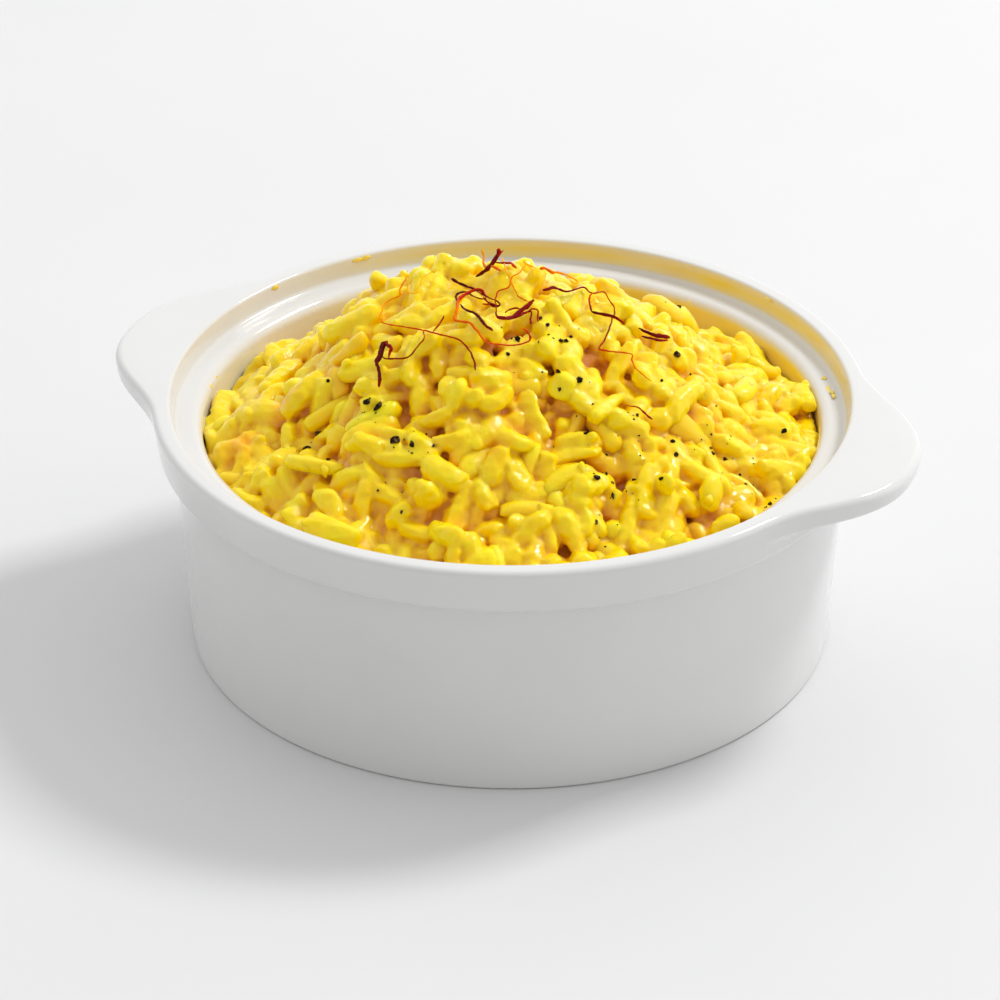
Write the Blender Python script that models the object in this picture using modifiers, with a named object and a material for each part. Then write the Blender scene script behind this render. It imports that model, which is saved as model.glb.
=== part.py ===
"""Saffron risotto heaped in a small round casserole bowl with two lug handles.

Two solids: the glazed bowl, turned from one profile with the lugs joined to its rim,
and the rice, one heap that fills the bowl and stands above its rim.
Z = 0 is the table, the bowl's axis is the Z axis and the lugs point along +X and -X.
"""

import math
import random

import bmesh
import bpy
from mathutils import Matrix, Vector

MM = 0.001
STEPS = 80                       # facets round every turned piece
GAP = 0.3 * MM                   # clear space between the rice and the bowl

# bowl, outside
RIM_HEIGHT = 47.5 * MM
RIM_RADIUS = 65.1 * MM           # outermost edge, at the top of the rim band
BAND_FOOT_RADIUS = 64.1 * MM     # the band leans in by 1 mm towards its lower edge
BAND_FOOT_HEIGHT = 39.3 * MM
BODY_TOP_RADIUS = 61.3 * MM
BODY_TOP_HEIGHT = 38.3 * MM
BASE_RADIUS = 59.2 * MM

# bowl, foot
FOOT_RING_WIDTH = 6.0 * MM
FOOT_RECESS = 1.2 * MM

# bowl, inside
RIM_INNER_RADIUS = 61.7 * MM
RECESS_FOOT_RADIUS = 61.0 * MM   # the lid's seat starts here
LEDGE_HEIGHT = 43.4 * MM
WALL_TOP_RADIUS = 56.1 * MM
WALL_TOP_HEIGHT = LEDGE_HEIGHT - 0.2 * MM    # the ledge falls a little inwards
WALL_FOOT_RADIUS = 54.0 * MM
FLOOR_HEIGHT = 5.0 * MM
FLOOR_FILLET = 4.0 * MM

# lug handles
LUG_REACH = 11.2 * MM            # how far a lug's tip stands out of the rim
LUG_SPREAD = math.radians(30.0)  # half of the rim's angle that a lug and its flares take
LUG_THICKNESS = 4.2 * MM
LUG_TOP_DROP = 0.45 * MM         # the lug's top lies this much under the rim's top
LUG_ROOT_RADIUS = 63.3 * MM      # the lug's inner edge, buried in the rim
LUG_EDGE_ROUND = 1.3 * MM
LUG_DROOP = math.radians(2.0)    # the tips hang a little below the rim
LUG_OUTLINE_STEPS = 28

# rice heap, heights measured from the rim's top
PEAK_HEIGHT = 20.9 * MM
PEAK_CENTRE = Vector((-4.6 * MM, 2.5 * MM))
SLOPE_POWER = 1.07               # along the slope: above 1 makes the crown broader
BELL_POWER = 1.45                # down the slope: above 1 makes the skirt hollower
WALL_LEVEL = -7.05 * MM          # mean level of the rice where it meets the wall
WALL_TILT = 2.5 * MM             # the level tips towards one side of the bowl
WALL_TILT_ANGLE = math.radians(312.0)
WALL_WAVE = 1.5 * MM             # and waves twice round the wall
WALL_WAVE_ANGLE = math.radians(20.0)
TOP_RINGS = 18

# broad swells and hollows of the heap: distance from the axis, bearing, half width, height
SWELLS = (
    (52.8, 170.5, 7.0, 2.5),
    (52.3, 156.5, 7.0, -2.5),
    (36.4, 162.8, 7.0, 1.5),
    (26.9, 158.0, 7.0, 2.6),
    (21.5, 131.8, 8.0, 1.4),
    (24.6, 83.4, 7.0, -2.2),
    (31.9, 68.8, 6.0, 2.0),
    (53.0, 51.9, 7.0, 1.6),
    (34.0, 312.0, 7.0, -2.2),
    (24.0, 286.0, 8.0, 1.6),
    (40.0, 262.0, 8.0, 1.4),
    (38.0, 345.0, 9.0, 1.5),
    (40.0, 224.0, 8.0, -1.6),
)

# small bumps, one for each cluster of grains
BUMP_COUNT = 150
BUMP_HALF_WIDTH = 3.7 * MM
BUMP_HEIGHT = 2.3 * MM
BUMP_SEED = 7


def make_collection(name):
    """A collection of this name in the scene."""
    collection = bpy.data.collections.new(name)
    bpy.context.scene.collection.children.link(collection)
    return collection


def make_material(name, colour, roughness, coat=0.0):
    """A Principled material of one colour."""
    material = bpy.data.materials.new(name)
    material.use_nodes = True
    shader = material.node_tree.nodes["Principled BSDF"]
    shader.inputs["Base Color"].default_value = (*colour, 1.0)
    shader.inputs["Roughness"].default_value = roughness
    shader.inputs["Metallic"].default_value = 0.0
    shader.inputs["Coat Weight"].default_value = coat
    return material


def fillet(before, corner, after, radius, segments):
    """Points of the arc that rounds one corner of an outline."""
    to_before = (before - corner).normalized()
    to_after = (after - corner).normalized()
    half_angle = to_before.angle(to_after) / 2
    centre_distance = radius / math.sin(half_angle)
    centre = corner + (to_before + to_after).normalized() * centre_distance
    tangent = radius / math.tan(half_angle)
    start = corner + to_before * tangent - centre
    end = corner + to_after * tangent - centre
    start_angle = math.atan2(start.y, start.x)
    sweep = math.remainder(math.atan2(end.y, end.x) - start_angle, 2 * math.pi)
    points = []
    for step in range(segments + 1):
        angle = start_angle + sweep * step / segments
        points.append(centre + radius * Vector((math.cos(angle), math.sin(angle))))
    return points


def rounded_outline(corners):
    """An outline through corners given as (radius, height, fillet radius, arc segments)."""
    places = [Vector((radius, height)) for radius, height, _, _ in corners]
    outline = []
    for index, (_, _, round_radius, segments) in enumerate(corners):
        if round_radius == 0:
            outline.append(places[index])
        else:
            before, corner, after = places[index - 1: index + 2]
            outline += fillet(before, corner, after, round_radius, segments)
    return outline


def bowl_profile():
    """From the middle of the bowl's floor, over the rim and down to the foot's middle."""
    foot_inner = BASE_RADIUS - FOOT_RING_WIDTH
    return rounded_outline([
        (0, FLOOR_HEIGHT, 0, 0),
        (WALL_FOOT_RADIUS, FLOOR_HEIGHT, FLOOR_FILLET, 3),
        (WALL_TOP_RADIUS, WALL_TOP_HEIGHT, 2.2 * MM, 3),
        (RECESS_FOOT_RADIUS, LEDGE_HEIGHT, 1.0 * MM, 2),
        (RIM_INNER_RADIUS, RIM_HEIGHT, 0.6 * MM, 2),
        (RIM_RADIUS, RIM_HEIGHT - 0.1 * MM, 1.1 * MM, 3),
        (BAND_FOOT_RADIUS, BAND_FOOT_HEIGHT, 1.0 * MM, 2),
        (BODY_TOP_RADIUS, BODY_TOP_HEIGHT, 0.5 * MM, 1),
        (BASE_RADIUS, 0, 1.0 * MM, 2),
        (foot_inner, 0, 0, 0),
        (foot_inner - FOOT_RECESS, FOOT_RECESS, 0, 0),
        (0, FOOT_RECESS, 0, 0),
    ])


def turned(name, profile, collection):
    """A profile in the XZ plane, turned once round the Z axis."""
    mesh = bpy.data.meshes.new(name)
    points = [(place.x, 0, place.y) for place in profile]
    edges = [(index, index + 1) for index in range(len(points) - 1)]
    mesh.from_pydata(points, edges, [])
    piece = bpy.data.objects.new(name, mesh)
    collection.objects.link(piece)
    screw = piece.modifiers.new("turn", "SCREW")
    screw.axis = "Z"
    screw.angle = 2 * math.pi
    screw.steps = STEPS
    screw.render_steps = STEPS
    screw.use_merge_vertices = True
    screw.merge_threshold = 0.01 * MM
    return piece


def smoother_step(share):
    """0 to 1 with level ends."""
    return share ** 3 * (share * (6 * share - 15) + 10)


def lug_outline():
    """A lug seen from above: a rounded tongue that flares back into the rim."""
    outline = []
    for step in range(LUG_OUTLINE_STEPS + 1):
        bearing = LUG_SPREAD * (2 * step / LUG_OUTLINE_STEPS - 1)
        reach = LUG_REACH * smoother_step(1 - abs(bearing) / LUG_SPREAD)
        outline.append(((RIM_RADIUS - 0.3 * MM + reach) * math.cos(bearing),
                        (RIM_RADIUS - 0.3 * MM + reach) * math.sin(bearing)))
    for step in range(LUG_OUTLINE_STEPS // 2 + 1):
        bearing = LUG_SPREAD * (1 - 4 * step / LUG_OUTLINE_STEPS)
        outline.append((LUG_ROOT_RADIUS * math.cos(bearing),
                        LUG_ROOT_RADIUS * math.sin(bearing)))
    return outline


def make_lug(name, side, collection):
    """One lug as a flat outline with thickness; side is 1 for +X and -1 for -X."""
    curve = bpy.data.curves.new(name + "_outline", "CURVE")
    curve.dimensions = "2D"
    curve.fill_mode = "BOTH"
    curve.extrude = LUG_THICKNESS / 2
    spline = curve.splines.new("POLY")
    outline = lug_outline()
    spline.points.add(len(outline) - 1)
    for point, (x, y) in zip(spline.points, outline):
        point.co = (x - LUG_ROOT_RADIUS, y, 0, 1)
    spline.use_cyclic_u = True
    flat = bpy.data.objects.new(name + "_outline", curve)
    collection.objects.link(flat)

    evaluated = flat.evaluated_get(bpy.context.evaluated_depsgraph_get())
    mesh = bpy.data.meshes.new_from_object(evaluated)
    bpy.data.objects.remove(flat)
    slab = bmesh.new()
    slab.from_mesh(mesh)
    bmesh.ops.remove_doubles(slab, verts=slab.verts, dist=0.01 * MM)
    bmesh.ops.dissolve_limit(slab, angle_limit=math.radians(1), verts=slab.verts,
                             edges=slab.edges)
    rim_edges = [edge for edge in slab.edges if is_outer_edge(edge)]
    bmesh.ops.bevel(slab, geom=rim_edges, offset=LUG_EDGE_ROUND, segments=2,
                    profile=0.5, affect="EDGES")
    bmesh.ops.triangulate(slab, faces=slab.faces)
    half_turn = 0 if side > 0 else math.pi
    place = (Matrix.Rotation(half_turn, 4, "Z")
             @ Matrix.Translation((LUG_ROOT_RADIUS, 0,
                                   RIM_HEIGHT - LUG_TOP_DROP - LUG_THICKNESS / 2))
             @ Matrix.Rotation(LUG_DROOP, 4, "Y"))
    bmesh.ops.transform(slab, matrix=place, verts=slab.verts)
    slab.to_mesh(mesh)
    slab.free()
    lug = bpy.data.objects.new(name, mesh)
    lug.hide_render = True
    lug.display_type = "WIRE"
    collection.objects.link(lug)
    return lug


def is_outer_edge(edge):
    """True for the flat edges along a lug's outline, where it stands out of the rim."""
    first, second = (vertex.co + Vector((LUG_ROOT_RADIUS, 0, 0)) for vertex in edge.verts)
    flat = abs(first.z - second.z) < 0.01 * MM
    outside = min(first.xy.length, second.xy.length) > RIM_RADIUS - 0.5 * MM
    return flat and outside


def make_bowl(parts, cutters):
    """The turned dish with both lugs joined into its rim."""
    bowl = turned("bowl", bowl_profile(), parts)
    for name, side in (("lug_right", 1), ("lug_left", -1)):
        join = bowl.modifiers.new(name, "BOOLEAN")
        join.operation = "UNION"
        join.solver = "EXACT"
        join.object = make_lug(name, side, cutters)
    bowl.data.materials.append(make_material("white_glaze", (0.83, 0.83, 0.81), 0.12, 0.4))
    bowl.data.shade_smooth()
    return bowl


def bell(distance, half_width):
    """A bell curve: 1 at its middle and about 0.37 at the half width."""
    return math.exp(-(distance / half_width) ** 2)


def wall_level(bearing):
    """Height of the rice against the wall, measured from the rim's top."""
    tilt = WALL_TILT * math.cos(bearing - WALL_TILT_ANGLE)
    wave = WALL_WAVE * math.cos(2 * (bearing - WALL_WAVE_ANGLE))
    return WALL_LEVEL + tilt + wave


def place_bumps(radius):
    """Bump centres on a sunflower spiral, shifted and sized at random."""
    chance = random.Random(BUMP_SEED)
    golden_angle = math.pi * (3 - math.sqrt(5))
    bumps = []
    for index in range(BUMP_COUNT):
        distance = radius * math.sqrt((index + 0.5) / BUMP_COUNT)
        bearing = index * golden_angle
        shift = Vector((chance.uniform(-1, 1), chance.uniform(-1, 1))) * BUMP_HALF_WIDTH / 2
        centre = Vector((distance * math.cos(bearing), distance * math.sin(bearing)))
        bumps.append((centre + shift, BUMP_HEIGHT * chance.uniform(-0.7, 1.0)))
    return bumps


def heap_height(place, radius, bumps):
    """Height above the table of the heap's surface at a place inside the wall.

    A bell-shaped mound falls from the peak to the wall's level. Its share of the height
    depends on how far along the line from the peak to the wall the place is.
    """
    offset = place - PEAK_CENTRE
    reach = offset.length
    if reach < 1e-9:
        share, bearing = 0.0, 0.0
    else:
        direction = offset / reach
        along = PEAK_CENTRE.dot(direction)
        full = -along + math.sqrt(along ** 2 - PEAK_CENTRE.length_squared + radius ** 2)
        share = min(reach / full, 1.0)
        foot = PEAK_CENTRE + direction * full
        bearing = math.atan2(foot.y, foot.x)
    level = wall_level(bearing)
    mound = max(math.cos(math.pi / 2 * share ** SLOPE_POWER), 0.0) ** BELL_POWER
    height = RIM_HEIGHT + level + (PEAK_HEIGHT - level) * mound
    for distance, turn, half_width, rise in SWELLS:
        angle = math.radians(turn)
        centre = Vector((math.cos(angle), math.sin(angle))) * distance * MM
        height += rise * MM * bell((place - centre).length, half_width * MM)
    for centre, rise in bumps:
        height += rise * bell((place - centre).length, BUMP_HALF_WIDTH)
    return height


def inner_wall_radius(height):
    """Radius of the bowl's inner wall, which widens evenly from its floor to its ledge."""
    share = (height - FLOOR_HEIGHT) / (WALL_TOP_HEIGHT - FLOOR_HEIGHT)
    return WALL_FOOT_RADIUS + (WALL_TOP_RADIUS - WALL_FOOT_RADIUS) * share


def make_rice(parts):
    """The rice as one solid: the bowl's inside below, the uneven heap on top."""
    wall_height = RIM_HEIGHT + WALL_LEVEL
    wall_radius = inner_wall_radius(wall_height) - GAP
    rice_profile = rounded_outline([
        (0, FLOOR_HEIGHT + GAP, 0, 0),
        (WALL_FOOT_RADIUS - GAP, FLOOR_HEIGHT + GAP, FLOOR_FILLET, 3),
        (wall_radius, wall_height, 0, 0),
    ])
    for ring in range(1, TOP_RINGS + 1):
        rice_profile.append(Vector((wall_radius * (1 - ring / TOP_RINGS), RIM_HEIGHT)))
    lathe = bmesh.new()
    verts = [lathe.verts.new((place.x, 0, place.y)) for place in rice_profile]
    edges = [lathe.edges.new(pair) for pair in zip(verts, verts[1:])]
    bmesh.ops.spin(lathe, geom=verts + edges, axis=(0, 0, 1), cent=(0, 0, 0),
                   angle=2 * math.pi, steps=STEPS, use_merge=True)
    bmesh.ops.remove_doubles(lathe, verts=lathe.verts, dist=0.01 * MM)
    bumps = place_bumps(wall_radius)
    for vertex in lathe.verts:
        if vertex.co.z > wall_height - 0.01 * MM:
            vertex.co.z = heap_height(vertex.co.xy, wall_radius, bumps)
            limit = inner_wall_radius(vertex.co.z) - GAP
            if vertex.co.xy.length > limit:
                vertex.co.xy = vertex.co.xy.normalized() * limit
    bmesh.ops.triangulate(lathe, faces=lathe.faces)
    bmesh.ops.recalc_face_normals(lathe, faces=lathe.faces)
    mesh = bpy.data.meshes.new("risotto")
    lathe.to_mesh(mesh)
    lathe.free()
    mesh.shade_smooth()
    rice = bpy.data.objects.new("risotto", mesh)
    rice.data.materials.append(make_material("saffron_rice", (0.93, 0.66, 0.03), 0.35))
    parts.objects.link(rice)
    return rice


def main():
    """Clear the scene and build both solids."""
    for item in list(bpy.data.objects):
        bpy.data.objects.remove(item)
    parts = make_collection("saffron_risotto")
    cutters = make_collection("cutters")
    make_bowl(parts, cutters)
    make_rice(parts)


main()
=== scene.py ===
import math
import bpy
import numpy as np
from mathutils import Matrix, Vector
from mathutils.bvhtree import BVHTree


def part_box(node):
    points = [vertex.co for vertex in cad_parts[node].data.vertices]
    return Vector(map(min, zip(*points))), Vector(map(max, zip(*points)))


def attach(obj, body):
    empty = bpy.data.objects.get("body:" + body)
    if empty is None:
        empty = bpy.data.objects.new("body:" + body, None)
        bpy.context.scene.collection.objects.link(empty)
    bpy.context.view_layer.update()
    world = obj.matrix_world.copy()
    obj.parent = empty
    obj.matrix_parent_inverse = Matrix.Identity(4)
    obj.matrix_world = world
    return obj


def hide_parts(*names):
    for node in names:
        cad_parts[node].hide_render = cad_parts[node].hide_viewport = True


# Saffron risotto heaped in a small white casserole bowl. Lengths are in mm unless a line says metres.

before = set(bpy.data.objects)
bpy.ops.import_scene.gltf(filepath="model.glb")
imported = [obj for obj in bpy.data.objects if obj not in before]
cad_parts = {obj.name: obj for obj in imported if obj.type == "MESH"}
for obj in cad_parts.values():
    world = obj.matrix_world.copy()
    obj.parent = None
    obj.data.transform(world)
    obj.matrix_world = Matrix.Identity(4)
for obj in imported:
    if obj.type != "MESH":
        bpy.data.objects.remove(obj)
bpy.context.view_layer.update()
bowlHigh = np.array(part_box("bowl")[1]) * 1000
riceHigh = np.array(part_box("risotto")[1]) * 1000
print("frame loaded, bowl height", round(float(bowlHigh[2]), 1), "mm")


def linearColour(hexCode):
    # sRGB hex to linear light: dark channels are divided by 12.92, the others raised to the power 2.4
    channels = np.array([int(hexCode[i:i + 2], 16) for i in (1, 3, 5)]) / 255
    linear = np.where(channels <= 0.04045, channels / 12.92, ((channels + 0.055) / 1.055) ** 2.4)
    return (*linear.tolist(), 1.0)


def setInputs(tree, node, inputs):
    # an input is either another node's socket, which is linked, or a value
    for name, value in inputs.items():
        if isinstance(value, bpy.types.NodeSocket):
            tree.links.new(value, node.inputs[name])
        else:
            node.inputs[name].default_value = value


def addNode(tree, kind, inputs={}, stops=(), **settings):
    # one node with its inputs and settings, and for a ramp its stops as (position, sRGB hex)
    node = tree.nodes.new(kind)
    for name, value in settings.items():
        setattr(node, name, value)
    setInputs(tree, node, inputs)
    if stops:
        elements = node.color_ramp.elements
        while len(elements) < len(stops):
            elements.new(0.5)
        for element, (position, hexCode) in zip(elements, stops):
            element.position = position
            element.color = linearColour(hexCode)
    return node


def newMaterial(name):
    # a material with only the Principled shader, and the place on the piece that its patterns follow
    material = bpy.data.materials.new(name)
    material.use_nodes = True
    tree = material.node_tree
    place = addNode(tree, "ShaderNodeTexCoord").outputs["Object"]
    return material, tree, tree.nodes["Principled BSDF"], place


def addObject(name, data):
    added = bpy.data.objects.new(name, data)
    bpy.context.scene.collection.objects.link(added)
    return added


def makePiece(name, points, faceSets, material, slotName, attributes=None, body="root"):
    # points (n, 3) in mm and faces as whole index arrays become one smooth mesh that rides on the body
    mesh = bpy.data.meshes.new(name)
    mesh.vertices.add(len(points))
    mesh.vertices.foreach_set("co", (points / 1000).astype(np.float32).ravel())
    indices = np.concatenate([faces.ravel() for faces in faceSets]).astype(np.int32)
    sizes = np.concatenate([np.full(len(faces), faces.shape[1]) for faces in faceSets])
    mesh.loops.add(len(indices))
    mesh.loops.foreach_set("vertex_index", indices)
    mesh.polygons.add(len(sizes))
    mesh.polygons.foreach_set("loop_start", (np.cumsum(sizes) - sizes).astype(np.int32))
    mesh.update(calc_edges=True)
    for attributeName, values in (attributes or {}).items():
        layer = mesh.attributes.new(attributeName, "FLOAT", "POINT")
        layer.data.foreach_set("value", values.astype(np.float32).ravel())
    mesh.validate()
    mesh.shade_smooth()
    mesh.materials.append(material)
    piece = addObject(name, mesh)
    if body:
        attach(piece, body)
    print(name, len(points), "points", len(sizes), "faces")
    return piece


def gridFaces(rows, columns, closed):
    # quads of a rows x columns grid of points, closed round the columns when asked
    wide = columns if closed else columns - 1
    row, column = np.meshgrid(np.arange(rows - 1), np.arange(wide), indexing="ij")
    following = (column + 1) % columns
    first, second = row * columns + column, row * columns + following
    return np.stack([first, second, second + columns, first + columns], -1).reshape(-1, 4)


def fanFaces(centre, ring):
    # triangles from one centre point to each side of a closed ring of points
    return np.stack([np.full(len(ring), centre), ring, np.roll(ring, -1)], -1)


def joinParts(parts):
    # several pairs of points and face arrays as one pair
    starts = np.cumsum([0] + [len(points) for points, faceSets in parts])
    return (np.concatenate([points for points, faceSets in parts]),
            [faces + start for start, (points, faceSets) in zip(starts, parts) for faces in faceSets])


def smootherStep(share):
    # rises from 0 to 1 with level ends: 6t^5 - 15t^4 + 10t^3
    t = np.clip(share, 0, 1)
    return t ** 3 * (t * (6 * t - 15) + 10)


cameraPlan = {
    "focalLength": 154.8, "sensor": 36.0,
    "distance": 804.0,       # from the middle of the bowl's base
    "elevation": 31.4,       # degrees above the table
    "azimuth": 20.0,         # degrees round from the front towards the right-hand lug
    "aimHeight": 24.5,
    "aimSide": -1.93,        # the aim passes this far to the right of the bowl's axis
}


def makeCamera():
    elevation, azimuth = math.radians(cameraPlan["elevation"]), math.radians(cameraPlan["azimuth"])
    away = Vector((math.cos(elevation) * math.sin(azimuth), -math.cos(elevation) * math.cos(azimuth),
                   math.sin(elevation)))
    side = Vector((math.cos(azimuth), math.sin(azimuth), 0))
    place = away * cameraPlan["distance"]
    aim = side * cameraPlan["aimSide"] + Vector((0, 0, cameraPlan["aimHeight"]))
    data = bpy.data.cameras.new("camera")
    data.sensor_width = cameraPlan["sensor"]
    data.lens = cameraPlan["focalLength"]
    data.clip_start, data.clip_end = 0.05, 20
    camera = addObject("camera", data)
    camera.location = place / 1000
    camera.rotation_euler = (aim - place).to_track_quat("-Z", "Y").to_euler()
    bpy.context.scene.camera = camera


lightPlan = {
    # place: bearing in degrees anticlockwise from +X, elevation in degrees, distance and size in mm
    "window": {"bearing": 15, "elevation": 22, "distance": 2000, "size": (1380, 1230), "watts": 3.5},
    "lamp": {"bearing": 52, "elevation": 50, "distance": 2000, "size": (440, 440), "watts": 20.5},
    "worldColour": "#FFFFFF",
    "worldBehind": 1.02, "worldBefore": 0.58,    # strength of the sky behind the bowl and before it
    "worldWay": (-0.45, 0.89, 0.0),              # points from before to behind
}


def makeLight(name, plan):
    bearing, elevation = math.radians(plan["bearing"]), math.radians(plan["elevation"])
    place = Vector((math.cos(elevation) * math.cos(bearing), math.cos(elevation) * math.sin(bearing),
                    math.sin(elevation))) * plan["distance"] / 1000
    data = bpy.data.lights.new(name, "AREA")
    data.shape = "RECTANGLE"
    data.size, data.size_y = plan["size"][0] / 1000, plan["size"][1] / 1000
    data.energy = plan["watts"]
    light = addObject(name, data)
    light.location = place
    light.rotation_euler = (-place).to_track_quat("-Z", "Y").to_euler()


def makeStudio():
    makeLight("window", lightPlan["window"])
    makeLight("lamp", lightPlan["lamp"])
    world = bpy.data.worlds.new("studio")
    world.use_nodes = True
    tree = world.node_tree
    way = addNode(tree, "ShaderNodeTexCoord").outputs["Generated"]
    along = addNode(tree, "ShaderNodeVectorMath", {0: way, 1: lightPlan["worldWay"]},
                    operation="DOT_PRODUCT")
    strength = addNode(tree, "ShaderNodeMapRange", {
        "Value": along.outputs["Value"], "From Min": -0.7, "From Max": 0.7,
        "To Min": lightPlan["worldBefore"], "To Max": lightPlan["worldBehind"]})
    setInputs(tree, tree.nodes["Background"], {"Color": linearColour(lightPlan["worldColour"]),
                                               "Strength": strength.outputs["Result"]})
    bpy.context.scene.world = world
    bpy.context.scene.view_settings.view_transform = "Standard"
    bpy.context.scene.view_settings.look = "None"


def paintedBoard():
    # smooth board under matt white emulsion paint: an even pale ground with the faintest mottle
    material, tree, shader, place = newMaterial("mattPaintedBoard")
    mottle = addNode(tree, "ShaderNodeTexNoise", {"Vector": place, "Scale": 9.0, "Detail": 3.0})    # 110 mm
    colour = addNode(tree, "ShaderNodeValToRGB", {"Fac": mottle.outputs["Fac"]},
                     [(0.3, "#DDDDDE"), (0.7, "#DFDFDF")])
    setInputs(tree, shader, {"Base Color": colour.outputs["Color"], "Roughness": 0.6,
                             "Specular IOR Level": 0.2})
    return material


floorPlan = {
    "half": 3000.0,          # it reaches this far each way
    "below": 0.05,           # and lies this far under the foot ring
}


def makeFloor():
    span = np.array([-floorPlan["half"], floorPlan["half"]])
    x, y = np.meshgrid(span, span)
    points = np.stack([x.ravel(), y.ravel(), np.full(4, -floorPlan["below"])], -1)
    floor = makePiece("floor", points, [np.array([[0, 1, 3, 2]])], paintedBoard(), None, body=None)


bowlPlan = {
    "roundSteps": 480,                  # points round the bowl
    "bandFoot": (64.1, 39.3),           # radius, height of the rim band's lower edge
    "bodyTop": (61.3, 38.3),
    "baseRadius": 59.2,
    "footRing": 6.0,                    # width of the unglazed ring that it stands on
    "footRecess": 1.2,
    "rimInner": 61.7,
    "recessFoot": (61.0, 43.4),         # the lid's seat starts here
    "wallTop": (56.1, 43.2),
    "wallFoot": (54.0, 5.0),
    "edgeRound": 0.15,                  # what the rounded rim takes off the widest radius
    "lugSpread": 30.0,                  # half of the angle that a lug and its flares take
    "lugThickness": 4.2,
    "lugDroop": 2.0,                    # degrees
    "paintedReflectionSide": 45.0,                   # bearing of the middle of the side with the painted reflection of the rice, degrees from +X
    "paintedReflectionShare": 0.95,                  # how far the painted reflection of the rice colours the glaze
    # heights and how strong the painted reflection is there, on the recess and on the wall, and the radius
    # between the two
    "paintedReflectionRecess": ((43.6, 44.6, 46.6, 47.3), (0.0, 1.0, 0.8, 0.0)),
    "paintedReflectionWall": ((41.6, 42.8), (1.0, 0.0)),
    "paintedReflectionDivide": 60.2,
    "paintedReflectionInside": (43.3, 59.0, 62.0),   # only within the second radius below this height, the third over it
    "paintedReflectionWaves": (9.0, 30.0), "paintedReflectionSeed": 31,
    "bareFoot": (0.25, 58.8),           # height and radius up to which the foot is unglazed
    "ledge": (2.5, 60.6),               # height over the wall and radius where the grains' limit ends
}


def bowlReach(angle):
    # how far the lugs stand out of the rim at each angle: full at 0 and 180 degrees, eased to nothing
    reach = bowlHigh[0] - bowlHigh[1]
    offAxis = np.abs(np.abs(np.degrees(np.arctan2(np.sin(angle), np.cos(angle)))) - 90)
    return reach * smootherStep((offAxis - 90) / bowlPlan["lugSpread"] + 1)


def bowlCorners(angle):
    # corners of the cross-section at each angle as radius, height, fillet radius; then arc steps, span steps
    rimRadius, rimHeight = bowlHigh[1] + bowlPlan["edgeRound"], bowlHigh[2]
    reach = bowlReach(angle)
    share = reach / reach.max()
    droop = reach * math.tan(math.radians(bowlPlan["lugDroop"]))
    bandFoot, bodyTop, base = bowlPlan["bandFoot"], bowlPlan["bodyTop"], bowlPlan["baseRadius"]
    lean = (rimRadius - bandFoot[0]) / (rimHeight - bandFoot[1])    # how the band leans in as it goes down
    underside, root = bowlPlan["lugThickness"], bowlPlan["lugThickness"] + 1.2
    footInner = base - bowlPlan["footRing"]
    table = [
        (0, bowlPlan["wallFoot"][1], 0, 0, 8),
        (*bowlPlan["wallFoot"], 4.0, 8, 12),
        (*bowlPlan["wallTop"], 2.2, 8, 3),
        (*bowlPlan["recessFoot"], 1.0, 6, 2),
        (bowlPlan["rimInner"], rimHeight, 0.7, 6, 3),
        (rimRadius + reach, rimHeight - droop, 1.1 + 0.4 * share, 8, 2),
        (rimRadius + reach - underside * lean, rimHeight - underside - droop, 0.5 + 1.0 * share, 6, 3),
        (rimRadius - root * lean, rimHeight - root, 2.4 - 0.6 * share, 6, 2),
        (*bandFoot, 1.0, 6, 2),
        (*bodyTop, 0.5, 4, 16),
        (base, 0, 0.7, 6, 2),
        (footInner, 0, 0.5, 3, 1),
        (footInner - 0.5, bowlPlan["footRecess"], 0.3, 2, 8),
        (0, bowlPlan["footRecess"], 0, 0, 0),
    ]
    flat = np.zeros_like(angle)
    corners = np.stack([np.stack([flat + row[0], flat + row[1], flat + row[2]], -1) for row in table], 1)
    return corners, [row[3] for row in table], [row[4] for row in table]


def roundedSection(corners, arcSteps, spanSteps):
    # each corner is replaced by an arc that touches both of its sides: the arc starts one tangent length
    # before the corner and turns by the angle between the sides; straight spans get extra points, and a
    # corner that hardly turns keeps a short arc, so that no two rows of points fall together
    places, fillets = corners[..., :2], corners[..., 2]
    sides = places[:, 1:] - places[:, :-1]
    lengths = np.maximum(np.linalg.norm(sides, axis=-1), 1e-6)
    ways = sides / lengths[..., None]
    blocks, ends = [], []
    for index in range(1, places.shape[1] - 1):
        before, after = ways[:, index - 1], ways[:, index]
        turn = np.arctan2(before[:, 0] * after[:, 1] - before[:, 1] * after[:, 0], (before * after).sum(-1))
        turn = np.where(np.abs(turn) < 1e-4, 1e-4, turn)
        half = np.abs(np.tan(turn / 2))
        limited = np.minimum(np.maximum(fillets[:, index] * half, 0.2),
                             0.48 * np.minimum(lengths[:, index - 1], lengths[:, index]))
        radius = limited / half
        across = np.stack([-before[:, 1], before[:, 0]], -1) * np.sign(turn)[:, None]
        swept = np.abs(turn)[:, None] * np.linspace(0, 1, arcSteps[index] + 1)
        start = places[:, index] - before * limited[:, None]
        arc = (start[:, None] + before[:, None] * (radius[:, None] * np.sin(swept))[..., None]
               + across[:, None] * (radius[:, None] * (1 - np.cos(swept)))[..., None])
        ends.append(arc)
    ends = [places[:, :1], *ends, places[:, -1:]]
    for index, arc in enumerate(ends):
        blocks.append(arc)
        if index + 1 < len(ends):
            shares = np.linspace(0, 1, spanSteps[index] + 1)[1:-1, None]
            blocks.append(arc[:, -1:] * (1 - shares) + ends[index + 1][:, :1] * shares)
    return np.concatenate(blocks, 1)


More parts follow.
